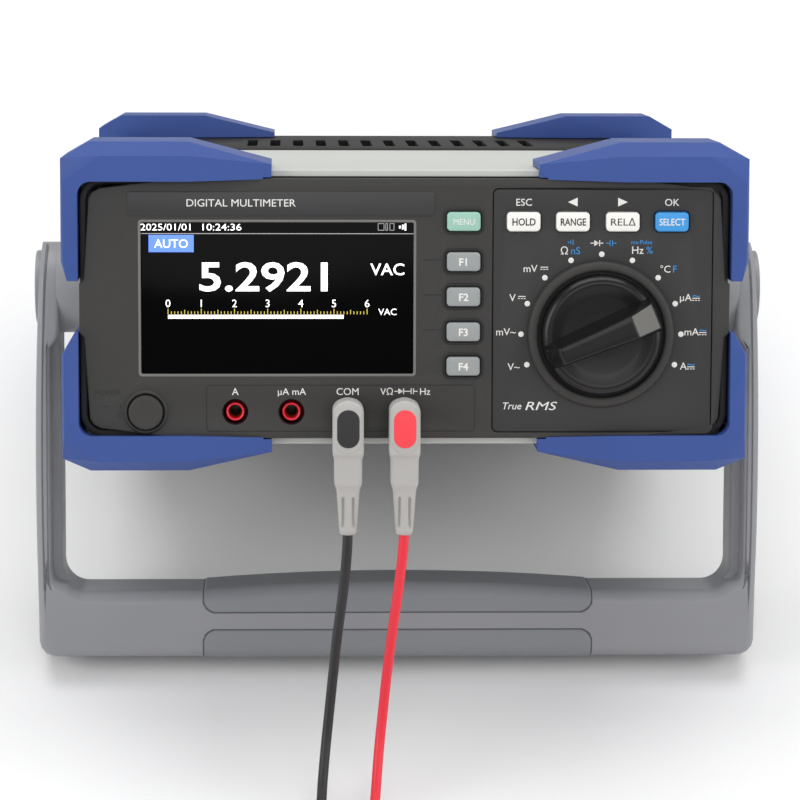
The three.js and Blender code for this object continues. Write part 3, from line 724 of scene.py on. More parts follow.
def panel_grooves():
    """Dark lines set flush in the face where grooves run, their near-black colour painted shade: round the
    sockets, and from the display to the keys.
    """
    width = 0.32
    outer = round_rect(92.0, 16.2, 1.6, -21.9, -34.1, 6)
    lines = [sleeve(outer, inset(outer, width), -INK, 0.3, 0.01, 0.01)]
    for z in (SOFT_KEYS["f1_key"], SOFT_KEYS["f2_key"], SOFT_KEYS["f3_key"]):
        lines.append(prism(round_rect(6.6, width, 0.1, 9.4, z + 0.6, 2), -INK, 0.3, 0.01, 0.01))
    piece("panel_grooves", lines, "painted_shade", "case")
    # A near-black ring round each soft key's opening: painted shade round the key.
    for name, z in SOFT_KEYS.items():
        wall = sleeve(key_opening(SOFT_X, z, 2.6), key_opening(SOFT_X, z, 0.7), -0.3, 1.5, 0.28)
        piece(name + "_surround", [wall], "painted_shade", "case")


def keycap(x, z, bow):
    """Shrinking rings for the crowned face, a round edge, straight sides, then the flange.

    bow lowers the lower side in the middle: z falls by bow (1 - u squared), u across the key.
    """
    edge = 0.6
    rim = round_rect(KEY_W, KEY_H, 1.3, x, z, 6)
    middle = np.array([x, z])
    face = inset(rim, edge)
    shrink = np.linspace(0.05, 1.0, 8)
    rows = [at_depth(middle + s * (face - middle), KEY_FACE - KEY_CROWN * (1 - s * s)) for s in shrink]
    rows += [at_depth(inset(rim, d), KEY_FACE + run) for d, run in soft_edge(edge, 5)[1:]]
    skirt = inset(rim, -1.0)
    rows += [at_depth(rim, 2.9), at_depth(skirt, 2.95), at_depth(skirt, 3.8)]
    grid = np.stack(rows)
    u = (grid[..., 0] - x) / (KEY_W / 2)
    low = ease((z - grid[..., 2]) / (KEY_H / 2))
    grid[..., 2] -= bow * low * np.clip(1 - u * u, 0, 1)
    return patch(grid)


def keys():
    """A cap for each key of the row and of the column, in its own colour."""
    finish_of = dict(menu_key=("mint", "key_mint"), select_key=("sky", "key_blue"))
    for name, x in ROW_KEYS.items():
        look, slot = finish_of.get(name, ("ivory", "key_ivory"))
        piece(name + "_cap", [keycap(x, KEY_ROW_Z, 0.4)], look, name, [name])
    for name, z in SOFT_KEYS.items():
        look, slot = finish_of.get(name, ("grey", "key_grey"))
        piece(name + "_cap", [keycap(SOFT_X, z, 0.0)], look, name, [name])


def key_legends():
    """Printed words that move with their keys."""
    top = KEY_FACE - KEY_CROWN

    def print_on(name, text, x, z, height, ink, bold=0.02, width=None):
        """One word on the crown of a key, riding on that key."""
        made = [words(text, x, z, height, top, bold, width=width)]
        piece(name + "_legend", made, ink, name, sharp=30)

    print_on("hold_key", "HOLD", ROW_KEYS["hold_key"], KEY_ROW_Z, 2.5, "dark_ink", 0.022, 7.9)
    print_on("range_key", "RANGE", ROW_KEYS["range_key"], KEY_ROW_Z, 2.5, "dark_ink", 0.022, 8.6)
    print_on("rel_key", "RELΔ", ROW_KEYS["rel_key"], KEY_ROW_Z, 2.5, "dark_ink", 0.0, 8.4)
    print_on("select_key", "SELECT", ROW_KEYS["select_key"], KEY_ROW_Z, 2.4, "white_ink", 0.01, 8.8)
    print_on("menu_key", "MENU", SOFT_X, SOFT_KEYS["menu_key"], 2.1, "white_ink", 0.0, 7.2)
    for number in (1, 2, 3, 4):
        name = f"f{number}_key"
        print_on(name, f"F{number}", SOFT_X, SOFT_KEYS[name], 2.6, "white_ink", 0.035)


def power_button():
    """A dished cap with a flange behind it, and the raised lip of the hole, both turned."""
    x, z, r = POWER["x"], POWER["z"], POWER["r"]
    dish = [(0, -2.15), (2.5, -2.2), (4.4, -2.35)]
    side = [(r - 0.7, -2.4), (r - 0.25, -2.2), (r, -1.75), (r, 2.7)]
    side += [(r + 0.5, 2.75), (r + 0.5, 3.1), (0, 3.1)]
    piece("power_button_cap", [turned(dish + side, x, z)], "charcoal", "power_button",
          ["power_button"])
    lip = [(6.35, 0.8), (6.35, -0.45), (6.6, -0.7), (7.0, -0.7), (7.5, -0.3), (7.7, 0.1), (7.7, 0.8)]
    piece("power_button_lip", [turned(lip, x, z, closed=True)], "charcoal", "case")


def dial_ring():
    """A rounded lip turned about the dial, and the floor of the recess inside it, near-black with painted
    shade.
    """
    bore, rim = DIAL["bore"], DIAL["ring"]
    crown = [(bore, 2.0), (bore, -1.1), (bore + 0.15, -1.6), (bore + 0.6, -2.05), (bore + 1.3, -2.2),
             (rim - 1.3, -2.1), (rim - 0.6, -1.7), (rim - 0.1, -0.9), (rim, -0.3), (rim, 2.0)]
    grid = turned(smoothed(crown, 0.3), DIAL["x"], DIAL["z"], 96, closed=True)
    piece("dial_ring_lip", [grid], "charcoal", "case", ["dial_ring"])
    floor_ring = [(0, 0.9), (bore + 0.3, 0.9), (bore + 0.3, 1.5), (0, 1.5)]
    piece("dial_recess", [turned(floor_ring, DIAL["x"], DIAL["z"])], "painted_shade", "case")


def turn_dial(points):
    """The dial's own frame, pointer up, turned clockwise by its rest angle and set in place."""
    p = np.asarray(points, float)
    c, s = math.cos(DIAL_REST), math.sin(DIAL_REST)
    x = c * p[..., 0] + s * p[..., 2] + DIAL["x"]
    z = -s * p[..., 0] + c * p[..., 2] + DIAL["z"]
    return stand(np.stack([x, p[..., 1], z], -1))


BAR_TOP, BAR_FOOT = -17.6, -5.0
FACET_START, FACET_DROP = 10.6, 7.2


def pointer_fall(z):
    """How far the top of the bar has dropped at z: a straight ramp over its last quarter."""
    return FACET_DROP * np.clip((z - FACET_START) / (19.5 - FACET_START), 0, 1)


def dial_bar():
    """A rounded trapezium carried along the bar; its top falls away towards both ends."""
    stretches = ((-19.7, -15.5, 14), (-15, 10.2, 24), (10.6, 19.5, 24))
    z = np.concatenate([np.linspace(*stretch) for stretch in stretches])
    fall_back = ease((-15.2 - z) / 5.5)
    top = BAR_TOP + 8.6 * fall_back + pointer_fall(z)
    wide = np.interp(z, [-19.7, -16, 0, 13, 19.5], [4.2, 4.8, 5.4, 6.0, 6.2])
    narrow = np.interp(z, [-19.7, -16, 0, 10, 19.5], [2.6, 3.0, 3.6, 4.2, 4.9])
    corner = 0.7
    side = np.array([(1, 0, 0, 0), (1, 0.5, 0, 0), (1, 1, 0, 1), (1, 1, -0.3, 0.3), (1, 1, -1, 0),
                     (0.4, 1, 0, 0), (-0.4, 1, 0, 0)])
    mirror = side[:5][::-1] * [-1, 1, -1, 1]
    ring = np.vstack([side, mirror])
    across = ring[:, 0] * (wide[:, None] + (narrow - wide)[:, None] * ring[:, 1]) + corner * ring[:, 2]
    foot = BAR_FOOT
    depth = foot + (top[:, None] - foot) * ring[:, 1] + corner * ring[:, 3]
    grid = np.stack([across, depth, np.repeat(z[:, None], len(ring), 1)], -1)
    return patch(grid)


def dial():
    """A turned disc with a dished rim under the bar, and the light facet on the bar's end."""
    knob = DIAL["knob"]
    rim = [(0, 0.2), (knob - 0.4, 0.2), (knob, -0.4), (knob, -3.2), (knob - 0.3, -4.3), (knob - 1.1, -5.4),
           (knob - 2.2, -6.0), (knob - 3.2, -6.1), (knob - 4.6, -5.7), (knob - 7, -5.1), (8, -4.8), (0, -4.7)]
    disc = turned(smoothed(rim, 0.5), 0, 0, 128)
    piece("dial_knob_body", [disc, dial_bar()], "knob", "dial", ["dial_knob"], turn_dial, 40)
    z = np.linspace(FACET_START + 0.5, 19.0, 6)
    half = np.interp(z, [10, 19.5], [3.6, 4.3])
    slope = BAR_TOP + pointer_fall(z) - 0.06
    top = np.stack([np.c_[-half, slope, z], np.c_[half, slope, z]], 1)
    under = top[:, ::-1] + [0, 0.5, 0]
    facet = patch(np.concatenate([top, under], 1))
    piece("dial_pointer", [facet], "pointer", "dial", (), turn_dial)


def sockets():
    """Each socket is a black cup, the coloured sleeve inside it, and the contact inside that."""
    mouth = [(3.95, 22.5), (3.95, 0.75), (4.05, 0.35), (4.25, 0.1), (4.3, 0.4), (4.3, 3.0)]
    cup = mouth + [(5.6, 3.0), (5.6, 24.0), (0, 24.0), (0, 22.5)]
    core = [(2.35, 22.2), (2.35, 1.5), (2.5, 1.1), (2.75, 0.95), (3.0, 1.05), (3.2, 1.4), (3.2, 22.2)]
    contact = [(1.85, 18.0), (1.85, 5.0), (2.05, 4.7), (2.3, 5.0), (2.3, 18.0)]
    for name, x in JACKS.items():
        shell = turned(cup, x, JACK_Z, 48, closed=True)
        piece(name + "_socket_cup", [shell], "socket", "case", [name + "_jack_shell"])
        look = "socket" if name == "common" else "red"
        sleeve_part = turned(core, x, JACK_Z, 48, closed=True)
        piece(name + "_socket_sleeve", [sleeve_part], look, "case", [name + "_jack_core"])
        if name in ("amp", "milliamp"):
            piece(name + "_socket_contact", [turned(contact, x, JACK_Z, 32, closed=True)], "brass", "case")


# ---- printing -----------------------------------------------------------------------------


def diode(x, z, s, y):
    """A lead, a triangle and a bar, s high."""
    h = s / 2
    return [
        bar(x - 1.1 * s, x + 1.1 * s, z - 0.07 * s, z + 0.07 * s, y),
        tile([(x - 0.45 * s, z - h), (x + 0.4 * s, z), (x - 0.45 * s, z + h)], y),
        bar(x + 0.38 * s, x + 0.54 * s, z - h, z + h, y),
    ]


def capacitor(x, z, s, y):
    """Two plates with a lead on each."""
    made = []
    line = 0.07 * s
    for side in (-1, 1):
        plate, end = x + side * 0.2 * s, x + side * 0.9 * s
        made.append(bar(plate - line, plate + line, z - s / 2, z + s / 2, y))
        made.append(bar(min(plate, end), max(plate, end), z - line, z + line, y))
    return made


# Where the three signs for mixed current stand: alternating above, direct below.
MIXED_SIGNS = [(99.5, 4.0), (101.9, -7.8), (98.0, -19.6)]


def dashed(x, z, y):
    """The direct current sign: a bar over three dashes."""
    made = [bar(x - 1.3, x + 1.3, z + 0.22, z + 0.5, y)]
    made += [bar(x + k - 0.32, x + k + 0.32, z - 0.5, z - 0.22, y) for k in (-0.98, 0.0, 0.98)]
    return made


def dial_words(y):
    """The words round the dial, white and blue, from the lower left clockwise."""
    size = 2.6
    white = [
        words("V~", 37.2, -19.8, size, y), words("mV~", 34.4, -7.8, size, y),
        words("V", 36.6, 3.9, size, y), words("mV", 42.6, 13.9, size, y),
        words("Ω", 54.2, 20.0, 2.7, y), words("Hz", 79.2, 20.2, 2.7, y),
        words("°C", 88.8, 13.7, 2.5, y), words("µA", 95.8, 4.0, size, y),
        words("mA", 98.0, -7.8, size, y), words("A", 95.4, -19.6, size, y),
    ]
    for x, z in [(39.8, 3.9), (47.4, 13.9)] + [(x, z - 0.7) for x, z in MIXED_SIGNS]:
        white += dashed(x, z, y)
    white += diode(65.3, 22.5, 2.0, y)
    blue = [
        words("nS", 58.0, 20.0, 2.6, y), words("%", 83.3, 20.2, 2.5, y),
        words("ms-Pulse", 80.6, 22.9, 1.5, y), words("F", 92.0, 13.7, 2.5, y),
    ]
    for x, z in MIXED_SIGNS:
        blue.append(words("~", x, z + 0.75, size, y, width=2.5))
    blue += capacitor(70.2, 22.5, 2.0, y)
    for k in range(3):
        blue.append(bar(55.4 + 0.8 * k, 55.7 + 0.8 * k, 22.5 - 0.3 * k, 23.1 + 0.3 * k, y))
    return white, blue


def dial_dots(y):
    """Eleven dots on a circle about the dial, 22.5 degrees apart, the middle one on top."""
    radius = 27.4
    spots = []
    for angle in np.radians(22.5) * np.arange(-5, 6):
        x, z = DIAL["x"] + radius * math.sin(angle), DIAL["z"] + radius * math.cos(angle)
        spots.append(tile(circle(0.95, x, z, 20), y))
    return spots


def panel_printing():
    """All the ink on the panel: labels of keys, dial, sockets, name strip and button."""
    plate_y, face_y = 0.1, 0.0
    white, blue = dial_words(plate_y)
    white += dial_dots(plate_y)
    label_z = 36.5
    white += [words("ESC", 40.3, label_z, 2.5, plate_y), words("OK", 90.8, label_z, 2.5, plate_y)]
    left = [(55.3, label_z), (58.6, label_z - 1.5), (58.6, label_z + 1.5)]
    right = [(75.7, label_z), (72.4, label_z + 1.5), (72.4, label_z - 1.5)]
    white += [tile(left, plate_y), tile(right, plate_y)]
    white.append(words("True", 36.4, -33.3, 2.5, plate_y, slant=0.25))
    white.append(words("RMS", 46.2, -33.3, 3.0, plate_y, slant=0.25, width=11.0))
    socket_z = -28.3
    white += [words("A", JACKS["amp"], socket_z, 2.5, face_y)]
    white += [words("µA mA", JACKS["milliamp"], socket_z, 2.4, face_y, width=9.6)]
    white += [words("COM", JACKS["common"], socket_z, 2.5, face_y)]
    white += [words("VΩ", -6.2, socket_z, 2.4, face_y), words("Hz", 6.8, socket_z, 2.4, face_y)]
    white += diode(-1.4, socket_z, 2.0, face_y) + capacitor(2.5, socket_z, 2.0, face_y)
    piece("panel_legends", white, "white_ink", "case", sharp=30)
    piece("panel_blue_legends", blue, "blue_ink", "case", sharp=30)
    title = words("DIGITAL MULTIMETER", -56.0, 36.2, 2.6, -0.3, width=37.0)
    piece("name_strip_legend", [title], "white_ink", "case", sharp=30)
    ring = circle(0.9, -97.2, -36.4, 24)
    faint = [words("POWER", -101.4, -28.6, 1.9, face_y)]
    faint.append(sleeve(ring, inset(ring, 0.25), -INK, 0.2, 0.01, 0.01))
    faint += [bar(-97.35, -97.05, -34.4, -32.4, face_y), bar(-103.2, -101.2, -33.6, -33.3, face_y)]
    piece("power_legend", faint, "faint_ink", "case", sharp=30)


def display():
    """The glass set in the window, and the thin light frame round it."""
    w, h, x, z = (WINDOW[k] for k in ("w", "h", "x", "z"))
    lens = prism(round_rect(w, h, 0.8, x, z, 5), LENS_FACE, 3.4, 0.15)
    piece("display_glass", [lens], "glass", "case", ["display_lens"])
    outer, inner = round_rect(w + 1.5, h + 1.5, 1.2, x, z, 5), round_rect(w - 0.4, h - 0.4, 0.7, x, z, 5)
    piece("display_border", [sleeve(outer, inner, -0.12, 1.4, 0.32)], "border", "case")


def display_figures():
    """What the screen shows, lit from behind: reading, unit, bar scale and status line."""
    y = LENS_FACE
    left, right, top = -90.5, 4.1, 30.4
    white = [
        words("5.2921", -47.0, 11.2, 10.0, y, 0.022, width=43.6),
        words("VAC", -6.0, 13.6, 4.1, y, 0.012, width=11.6),
        words("VAC", -6.0, -1.0, 2.3, y, width=6.2),
        words("AUTO", -79.6, 22.3, 3.0, y - 0.06),
        words("2025/01/01", -90.2, 27.9, 2.4, y, 0.0, "LEFT", width=17.0),
        words("10:24:36", -69.8, 27.9, 2.4, y, 0.0, "LEFT", width=13.2),
    ]
    start, end = -80.8, -13.0
    unit = (end - start) / 6
    white += [words(str(n), start + n * unit, 1.9, 2.7, y, 0.0) for n in range(7)]
    white.append(bar(start, -21.0, -3.4, -2.1, y))
    for k, tall in ((-2.2, 0.9), (-1.2, 1.6), (-0.3, 2.4)):
        white.append(bar(k, k + 0.55, 27.9 - tall / 2, 27.9 + tall / 2, y))
    piece("display_white_figures", white, "lit_white", "case", sharp=30)
    ticks = []
    for n in range(61):
        x = start + n * unit / 10
        tall = 1.9 if n % 10 == 0 else 1.5 if n % 5 == 0 else 1.0
        ticks.append(bar(x - 0.13, x + 0.13, -1.9, -1.9 + tall, y))
    piece("display_scale_ticks", ticks, "lit_yellow", "case", sharp=30)
    piece("display_range_box", [bar(-87.3, -72.0, 19.3, 25.2, y)], "lit_blue", "case")
    grey = [bar(left, right, 25.5, 25.75, y), bar(left, right, top, top + 0.15, y)]
    for x0, x1 in ((-9.4, -7.2), (-6.8, -6.0), (-5.4, -3.8)):
        grey += [bar(x0, x1, 29.0, 29.2, y), bar(x0, x1, 26.7, 26.9, y)]
        grey += [bar(x0, x0 + 0.2, 26.7, 29.2, y), bar(x1 - 0.2, x1, 26.7, 29.2, y)]
    piece("display_status_icons", grey, "lit_grey", "case", sharp=30)


# ---- case ---------------------------------------------------------------------------------


def half_shell(sign):
    """Half of a rounded tube's section: out along the outer wall, back along the inner one."""
    arc = np.linspace(0, np.pi / 2, 11)
    gap = 0.15

    def wall(w, h, r):
        """From the side's middle up round one corner, then the same mirrored."""
        corner = np.c_[w / 2 - r + r * np.cos(arc), h / 2 - r + r * np.sin(arc)]
        right = np.vstack([[w / 2, gap], corner])
        return np.vstack([right, right[::-1] * [-1, 1]])

    outer = wall(COVER_W, COVER_H, CORNER_R)
    inner = wall(COVER_W - 5, COVER_H - 5, CORNER_R - 2.5)
    ring = np.vstack([outer, inner[::-1]])
    return ring if sign > 0 else (ring * [1, -1])[::-1]


def covers():
    """Each light cover, and the strip of it that laps over the bezel."""
    seat = 44.8
    lap = np.linspace(math.asin((seat - COVER_H / 2 + CORNER_R) / CORNER_R), np.pi / 2, 8)
    centre = np.array([COVER_W, COVER_H]) / 2 - CORNER_R
    right = centre + CORNER_R * np.c_[np.cos(lap), np.sin(lap)]
    strip = np.vstack([right, right[::-1] * [-1, 1]])
    for name, sign in (("top_cover", 1), ("bottom_cover", -1)):
        lip = strip if sign > 0 else (strip * [1, -1])[::-1]
        parts = [prism(half_shell(sign), BEZEL_D + 0.3, COVER_END, 0.3, 0.3)]
        parts.append(prism(lip, 5.0, BEZEL_D + 0.6, 0.3))
        piece(name + "_shell", parts, "cover", "case", [name])


def rear_case():
    """A tube with round corners, then thirteen rounded slots cut through its top."""
    tube = sleeve(
        round_rect(PANEL_W, COVER_H + 0.6, CORNER_R, steps=12),
        round_rect(PANEL_W - 5, COVER_H - 4.4, CORNER_R - 2.5, steps=12),
        COVER_END + 0.3,
        REAR_END,
        0.5,
        0.9,
    )
    slots = []
    for i in range(-6, 7):
        points, faces = prism(round_rect(4.0, 50.0, 1.9, 9.0 * i, 200.0, 6), 40.0, 50.0, 0.01, 0.01)
        slots.append((points[:, [0, 2, 1]], faces))
    mesh = pierced(tube, slots)
    finish_mesh("rear_case_shell", mesh, "case", "case", ["rear_case"])


def pierced(solid, cutters):
    """The solid's mesh in the row's frame less all the cutters."""

    def holder(patches):
        """An object of the patches, closed and facing outwards."""
        mesh = bpy.data.meshes.new("cut")
        points, faces = joined(patches)
        mesh.from_pydata(stand(points), [], faces)
        work = bmesh.new()
        work.from_mesh(mesh)
        bmesh.ops.remove_doubles(work, verts=work.verts, dist=1e-7)
        bmesh.ops.recalc_face_normals(work, faces=work.faces)
        work.to_mesh(mesh)
        work.free()
        made = bpy.data.objects.new("cut", mesh)
        bpy.context.scene.collection.objects.link(made)
        return made

    body, tool = holder([solid]), holder(cutters)
    step = body.modifiers.new("cut", "BOOLEAN")
    step.operation = "DIFFERENCE"
    step.solver = "EXACT"
    step.object = tool
    bpy.context.view_layer.update()
    mesh = bpy.data.meshes.new_from_object(body.evaluated_get(bpy.context.evaluated_depsgraph_get()))
    for thing in (body, tool):
        old = thing.data
        bpy.data.objects.remove(thing)
        bpy.data.meshes.remove(old)
    return mesh


INLET_X, FUSE_X, REAR_ROW_Z = -70, -34, -18


def rear_panel():
    """A pierced plate set into the rear case, with the fuse holder's cap and the inlet."""
    outlines = [round_rect(PANEL_W - 5.6, COVER_H - 5, CORNER_R - 3, steps=6)]
    outlines.append(round_rect(28.4, 20.4, 2, INLET_X, REAR_ROW_Z, 4))
    outlines.append(circle(6.3, FUSE_X, REAR_ROW_Z, 32))
    outlines += [round_rect(3.0, 44.0, 1.4, 21.5 + 8 * i, 0, 5) for i in range(8)]
    plate = cut_plate("rear", outlines, REAR_END - 8, REAR_END - 5.5, 0.3)
    piece("rear_panel_plate", [plate], "case", "case", ["rear_panel"])
    cap = [(0, 248), (6, 248), (6, 262.8), (8, 262.8), (8, 264.6), (7.6, 265.5), (6, 266.6), (5.4, 267)]
    cap.append((0, 267))
    knob = turned(smoothed(cap, 0.4), FUSE_X, REAR_ROW_Z, 48)
    piece("fuse_holder_cap", [knob], "black", "case", ["fuse_holder"])
    # A near-black bar on the cap's face: painted shade standing for its slot.
    mark = prism(round_rect(7.0, 1.0, 0.3, FUSE_X, REAR_ROW_Z, 3), 266.5, 267.06, 0.02, 0.02)
    piece("fuse_holder_slot_shade", [mark], "painted_shade", "case")
    refined("mains_inlet_body", "mains_inlet", "black", "case", 0.3, 2)


def guards():
    """Eight corner guards, each its CAD solid with its edges rounded over."""
    for end in ("front", "rear"):
        for level in ("upper", "lower"):
            for side in ("left", "right"):
                node = f"{end}_{level}_{side}_guard"
                refined(node + "_rubber", node, "guard", "case", 0.8, 3, 12.0)


# ---- handle -------------------------------------------------------------------------------


def handle_lines():
    """The inner and outer line of the right half of the handle, from its middle to its tip."""
    corner_z, corner_x = GRIP_TOP + 9.0, ARM_IN - 9.0
    grip = np.linspace(0.0, corner_x, 40)[:-1]
    inner = [np.c_[grip, np.full(len(grip), GRIP_TOP)]]
    outer = [np.c_[grip, np.full(len(grip), GRIP_BOTTOM)]]
    turn = np.linspace(-np.pi / 2, 0, 20)
    inner.append(np.c_[corner_x + 9 * np.cos(turn), corner_z + 9 * np.sin(turn)])
    low_x, low_z = ARM_OUT - 0.8 - 6.0, GRIP_BOTTOM + 6.0
    bend = np.c_[low_x + 6 * np.cos(turn), low_z + 6 * np.sin(turn)]
    way = np.vstack([[corner_x, GRIP_BOTTOM], bend, [ARM_OUT - 0.5, corner_z]])
    run = np.r_[0, np.cumsum(np.linalg.norm(np.diff(way, axis=0), axis=1))]
    at = np.linspace(0, run[-1], 20)
    outer.append(np.c_[np.interp(at, run, way[:, 0]), np.interp(at, run, way[:, 1])])
    round_top = HUB_R * np.sin(np.linspace(0, np.pi / 2, 16))
    rise = np.concatenate([np.linspace(corner_z, 0.0, 30)[1:], round_top[1:]])
    t = np.linspace(0, 1, 60)
    bow_z = (1 - t) ** 2 * corner_z + 2 * t * (1 - t) * -40 + t**2 * 17.5
    bow_x = (1 - t) ** 2 * (ARM_OUT - 0.5) + 2 * t * (1 - t) * (ARM_OUT + 0.8) + t**2 * (ARM_OUT - 2.6)
    inner.append(np.c_[np.full(len(rise), ARM_IN), rise])
    outer.append(np.c_[np.interp(rise, bow_z, bow_x), rise])
    return np.vstack(inner), np.vstack(outer)


def handle_ring():
    """Points round the section: share across, share of the half depth, then corner offsets.

    Columns: across share, depth share, outer corner (across, depth), inner corner, step.
    """
    rows = []
    arc = np.linspace(0, np.pi / 2, 7)
    rows += [(1, -1, -1 + math.sin(a), 1 - math.cos(a), 0, 0, 0) for a in arc]
    rows += [(1, b, 0, 0, 0, 0, 0) for b in (-0.4, 0.0, 0.4)]
    rows += [(1, 1, -1 + math.cos(a), -1 + math.sin(a), 0, 0, 0) for a in arc]
    rows += [(a, 1, 0, 0, 0, 0, 0) for a in (0.75, 0.5, 0.3)]
    rows += [(0, 1, 0, 0, 1 - math.sin(a), -1 + math.cos(a), 0) for a in arc]
    rows += [(0, b, 0, 0, 0, 0, 0) for b in (0.5, 0.0, -0.42)]
    rows += [(0, -0.455, 0, 0, 0, 0, 0.1), (0, -0.47, 0, 0, 0, 0, 0.9), (0, -0.55, 0, 0, 0, 0, 1)]
    rows += [(0, -1, 0, 0, 1 - math.cos(a), 1 - math.sin(a), 1) for a in arc]
    rows += [(a, -1, 0, 0, 0, 0, 0) for a in (0.5, 0.62, 0.75)]
    return np.array(rows)


def on_floor(points):
    """Stood up, with nothing under the floor."""
    world = stand(points)
    world[..., 2] = np.maximum(world[..., 2], 0.00005)
    return world


def handle_frame():
    """Inner line + share (outer - inner) across, middle depth + share of the half depth."""
    inner, outer = handle_lines()
    inner = np.vstack([inner[:0:-1] * [-1, 1], inner])
    outer = np.vstack([outer[:0:-1] * [-1, 1], outer])
    ring = handle_ring()
    thick = np.linalg.norm(outer - inner, axis=1)
    height = np.maximum(inner[:, 1], 0.0)
    half = np.sqrt(np.maximum(HUB_R**2 - height**2, 0.0025))
    on_arm = ease((inner[:, 1] - GRIP_TOP) / 12.0)
    big = 5.0 + (2.8 - 5.0) * on_arm
    small = 5.0 + (1.4 - 5.0) * on_arm
    limit = np.minimum(1.0, half / 6.0)
    big, small = big * limit, small * limit
    step = 3.4 * ease((inner[:, 1] - GRIP_TOP - 2) / 5.0) * ease((-HUB_R - inner[:, 1]) / 3.0)
    across = ring[:, 0] * thick[:, None] + big[:, None] * ring[:, 2] + small[:, None] * ring[:, 4]
    across += step[:, None] * ring[:, 6]
    depth = ring[:, 1] * half[:, None] + big[:, None] * ring[:, 3] + small[:, None] * ring[:, 5]
    share = (across / thick[:, None])[..., None]
    flat = inner[:, None] + share * (outer - inner)[:, None]
    grid = np.stack([flat[..., 0], PIVOT_Y + depth, flat[..., 1]], -1)
    hubs = []
    for side in (-1, 1):
        profile = smoothed([(0, 112.0), (15.6, 112.0), (HUB_R, 112.9), (HUB_R, 123.8), (0, 123.8)], 0.4)
        points, faces = turned(profile, 0, 0, 64)
        hubs.append((np.c_[side * points[:, 1], PIVOT_Y + points[:, 0], points[:, 2]], faces))
    shapes = [patch(grid)] + hubs
    piece("handle_bail", shapes, "handle", "handle", ["handle_frame"], on_floor, 40)


def hub_caps():
    """A shallow dome with a ring groove, turned about the handle's axis."""
    dome = [(0, 131.15), (7.0, 131.1), (8.6, 131.0), (8.9, 130.6), (9.3, 130.6), (9.6, 130.95)]
    profile = dome + [(11.2, 130.8), (11.8, 130.4), (12.0, 129.8), (12.0, 128.4), (0, 128.4)]
    lip = [(12.1, 131.3), (12.1, 128.4), (13.4, 128.4), (13.4, 131.0), (13.1, 131.3)]
    for side, name in ((-1, "left"), (1, "right")):
        points, faces = turned(smoothed(profile, 0.15, 1), 0, 0, 64)
        placed = np.c_[side * points[:, 1], PIVOT_Y + points[:, 0], points[:, 2]]
        nodes = [name + "_hub_cap"]
        piece(name + "_hub_cap_disc", [(placed, faces)], "pad", "handle", nodes)
        points, faces = turned(lip, 0, 0, 64, closed=True)
        placed = np.c_[side * points[:, 1], PIVOT_Y + points[:, 0], points[:, 2]]
        piece(name + "_hub_rim", [(placed, faces)], "handle", "handle")


def grip_wrap(x, edge, face, arch):
    """The grip's section unrolled: front, round corner, flat, round corner, back.

    Gives points (y, z) and outward normals for each x; edge is where the wrap starts and ends,
    face is the level of its flat, which rises by arch (1 - u squared) along the grip.
    """
    r = 5.0
    way = math.copysign(1.0, face - edge)
    level = face + arch * (1 - (x / PAD_HALF) ** 2)
    up = np.concatenate([np.linspace(0, 0.3, 8), np.linspace(0.4, 1, 8)])
    arc = np.linspace(0, np.pi / 2, 9)[1:]
    y0, y1 = PIVOT_Y - HUB_R, PIVOT_Y + HUB_R
    rows = []
    start = level - way * r
    for s in up:
        rows.append((np.full_like(x, y0), edge + s * (start - edge), -1.0, 0.0))
    for a in arc:
        rows.append((np.full_like(x, y0 + r - r * math.cos(a)), start + way * r * math.sin(a), -math.cos(a),
                     way * math.sin(a)))
    for y in np.linspace(y0 + r, y1 - r, 8)[1:-1]:
        rows.append((np.full_like(x, y), level, 0.0, way))
    back = [(y0 + y1 - y, z, -ny, nz) for y, z, ny, nz in rows[: len(up) + len(arc)][::-1]]
    rows += back
    y = np.stack([row[0] for row in rows], 1)
    z = np.stack([row[1] for row in rows], 1)
    ny = np.array([row[2] for row in rows])
    nz = np.array([row[3] for row in rows])
    return y, z, ny, nz


def grip_pad(name, edge, face, arch, finish, node, grow, height, round_over):
    """A wrap lifted off the grip by height, falling to nothing at its rounded outline."""
    long_half = PAD_HALF + grow
    u = np.linspace(-1, 1, 121)
    x = long_half * np.sign(u) * (1 - (1 - np.abs(u)) ** 1.5)
    way = math.copysign(1.0, face - edge)
    y, z, ny, nz = grip_wrap(x, edge - way * grow, face, arch)
    steps = np.hypot(np.diff(y, axis=1, prepend=y[:, :1]), np.diff(z, axis=1, prepend=z[:, :1]))
    run = np.cumsum(steps, axis=1)
    from_rim = np.minimum(run, run[:, -1:] - run)
    from_end = (long_half - np.abs(x))[:, None]
    r = 5.0
    inside = r - np.hypot(np.maximum(r - from_end, 0), np.maximum(r - from_rim, 0))
    share = np.clip(inside / round_over, 0, 1)
    lift = -0.08 + (height + 0.08) * np.sqrt(1 - (1 - share) ** 2)
    out = np.stack([np.repeat(x[:, None], y.shape[1], 1), y + lift * ny, z + lift * nz], -1)
    deep = np.stack([out[..., 0], y - 1.2 * ny, z - 1.2 * nz], -1)
    grid = np.concatenate([out, deep[:, ::-1]], 1)
    nodes = [node] if node else ()
    piece(name, [patch(grid)], finish, "handle", nodes, on_floor, 50)


def grip_pads():
    """An upper and a lower pad, each over a slightly wider darker sheet: painted shade of the groove round
    the pad.
    """
    upper, lower = (-117.5, GRIP_TOP), (-124.1, GRIP_BOTTOM)
    grip_pad("upper_grip_pad_skin", *upper, 2.8, "pad", "upper_grip_pad", 0.0, 0.4, 0.9)
    # The darker sheet under each pad shows round its edge as painted shade of the groove there.
    grip_pad("upper_grip_pad_seam", *upper, 2.2, "seam", None, 0.55, 0.05, 0.1)
    grip_pad("lower_grip_pad_skin", *lower, 0.0, "pad", "lower_grip_pad", 0.0, 0.4, 0.9)
    grip_pad("lower_grip_pad_seam", *lower, 0.0, "seam", None, 0.55, 0.05, 0.1)


# ---- test leads ---------------------------------------------------------------------------


PLUG_TOP = -29.9


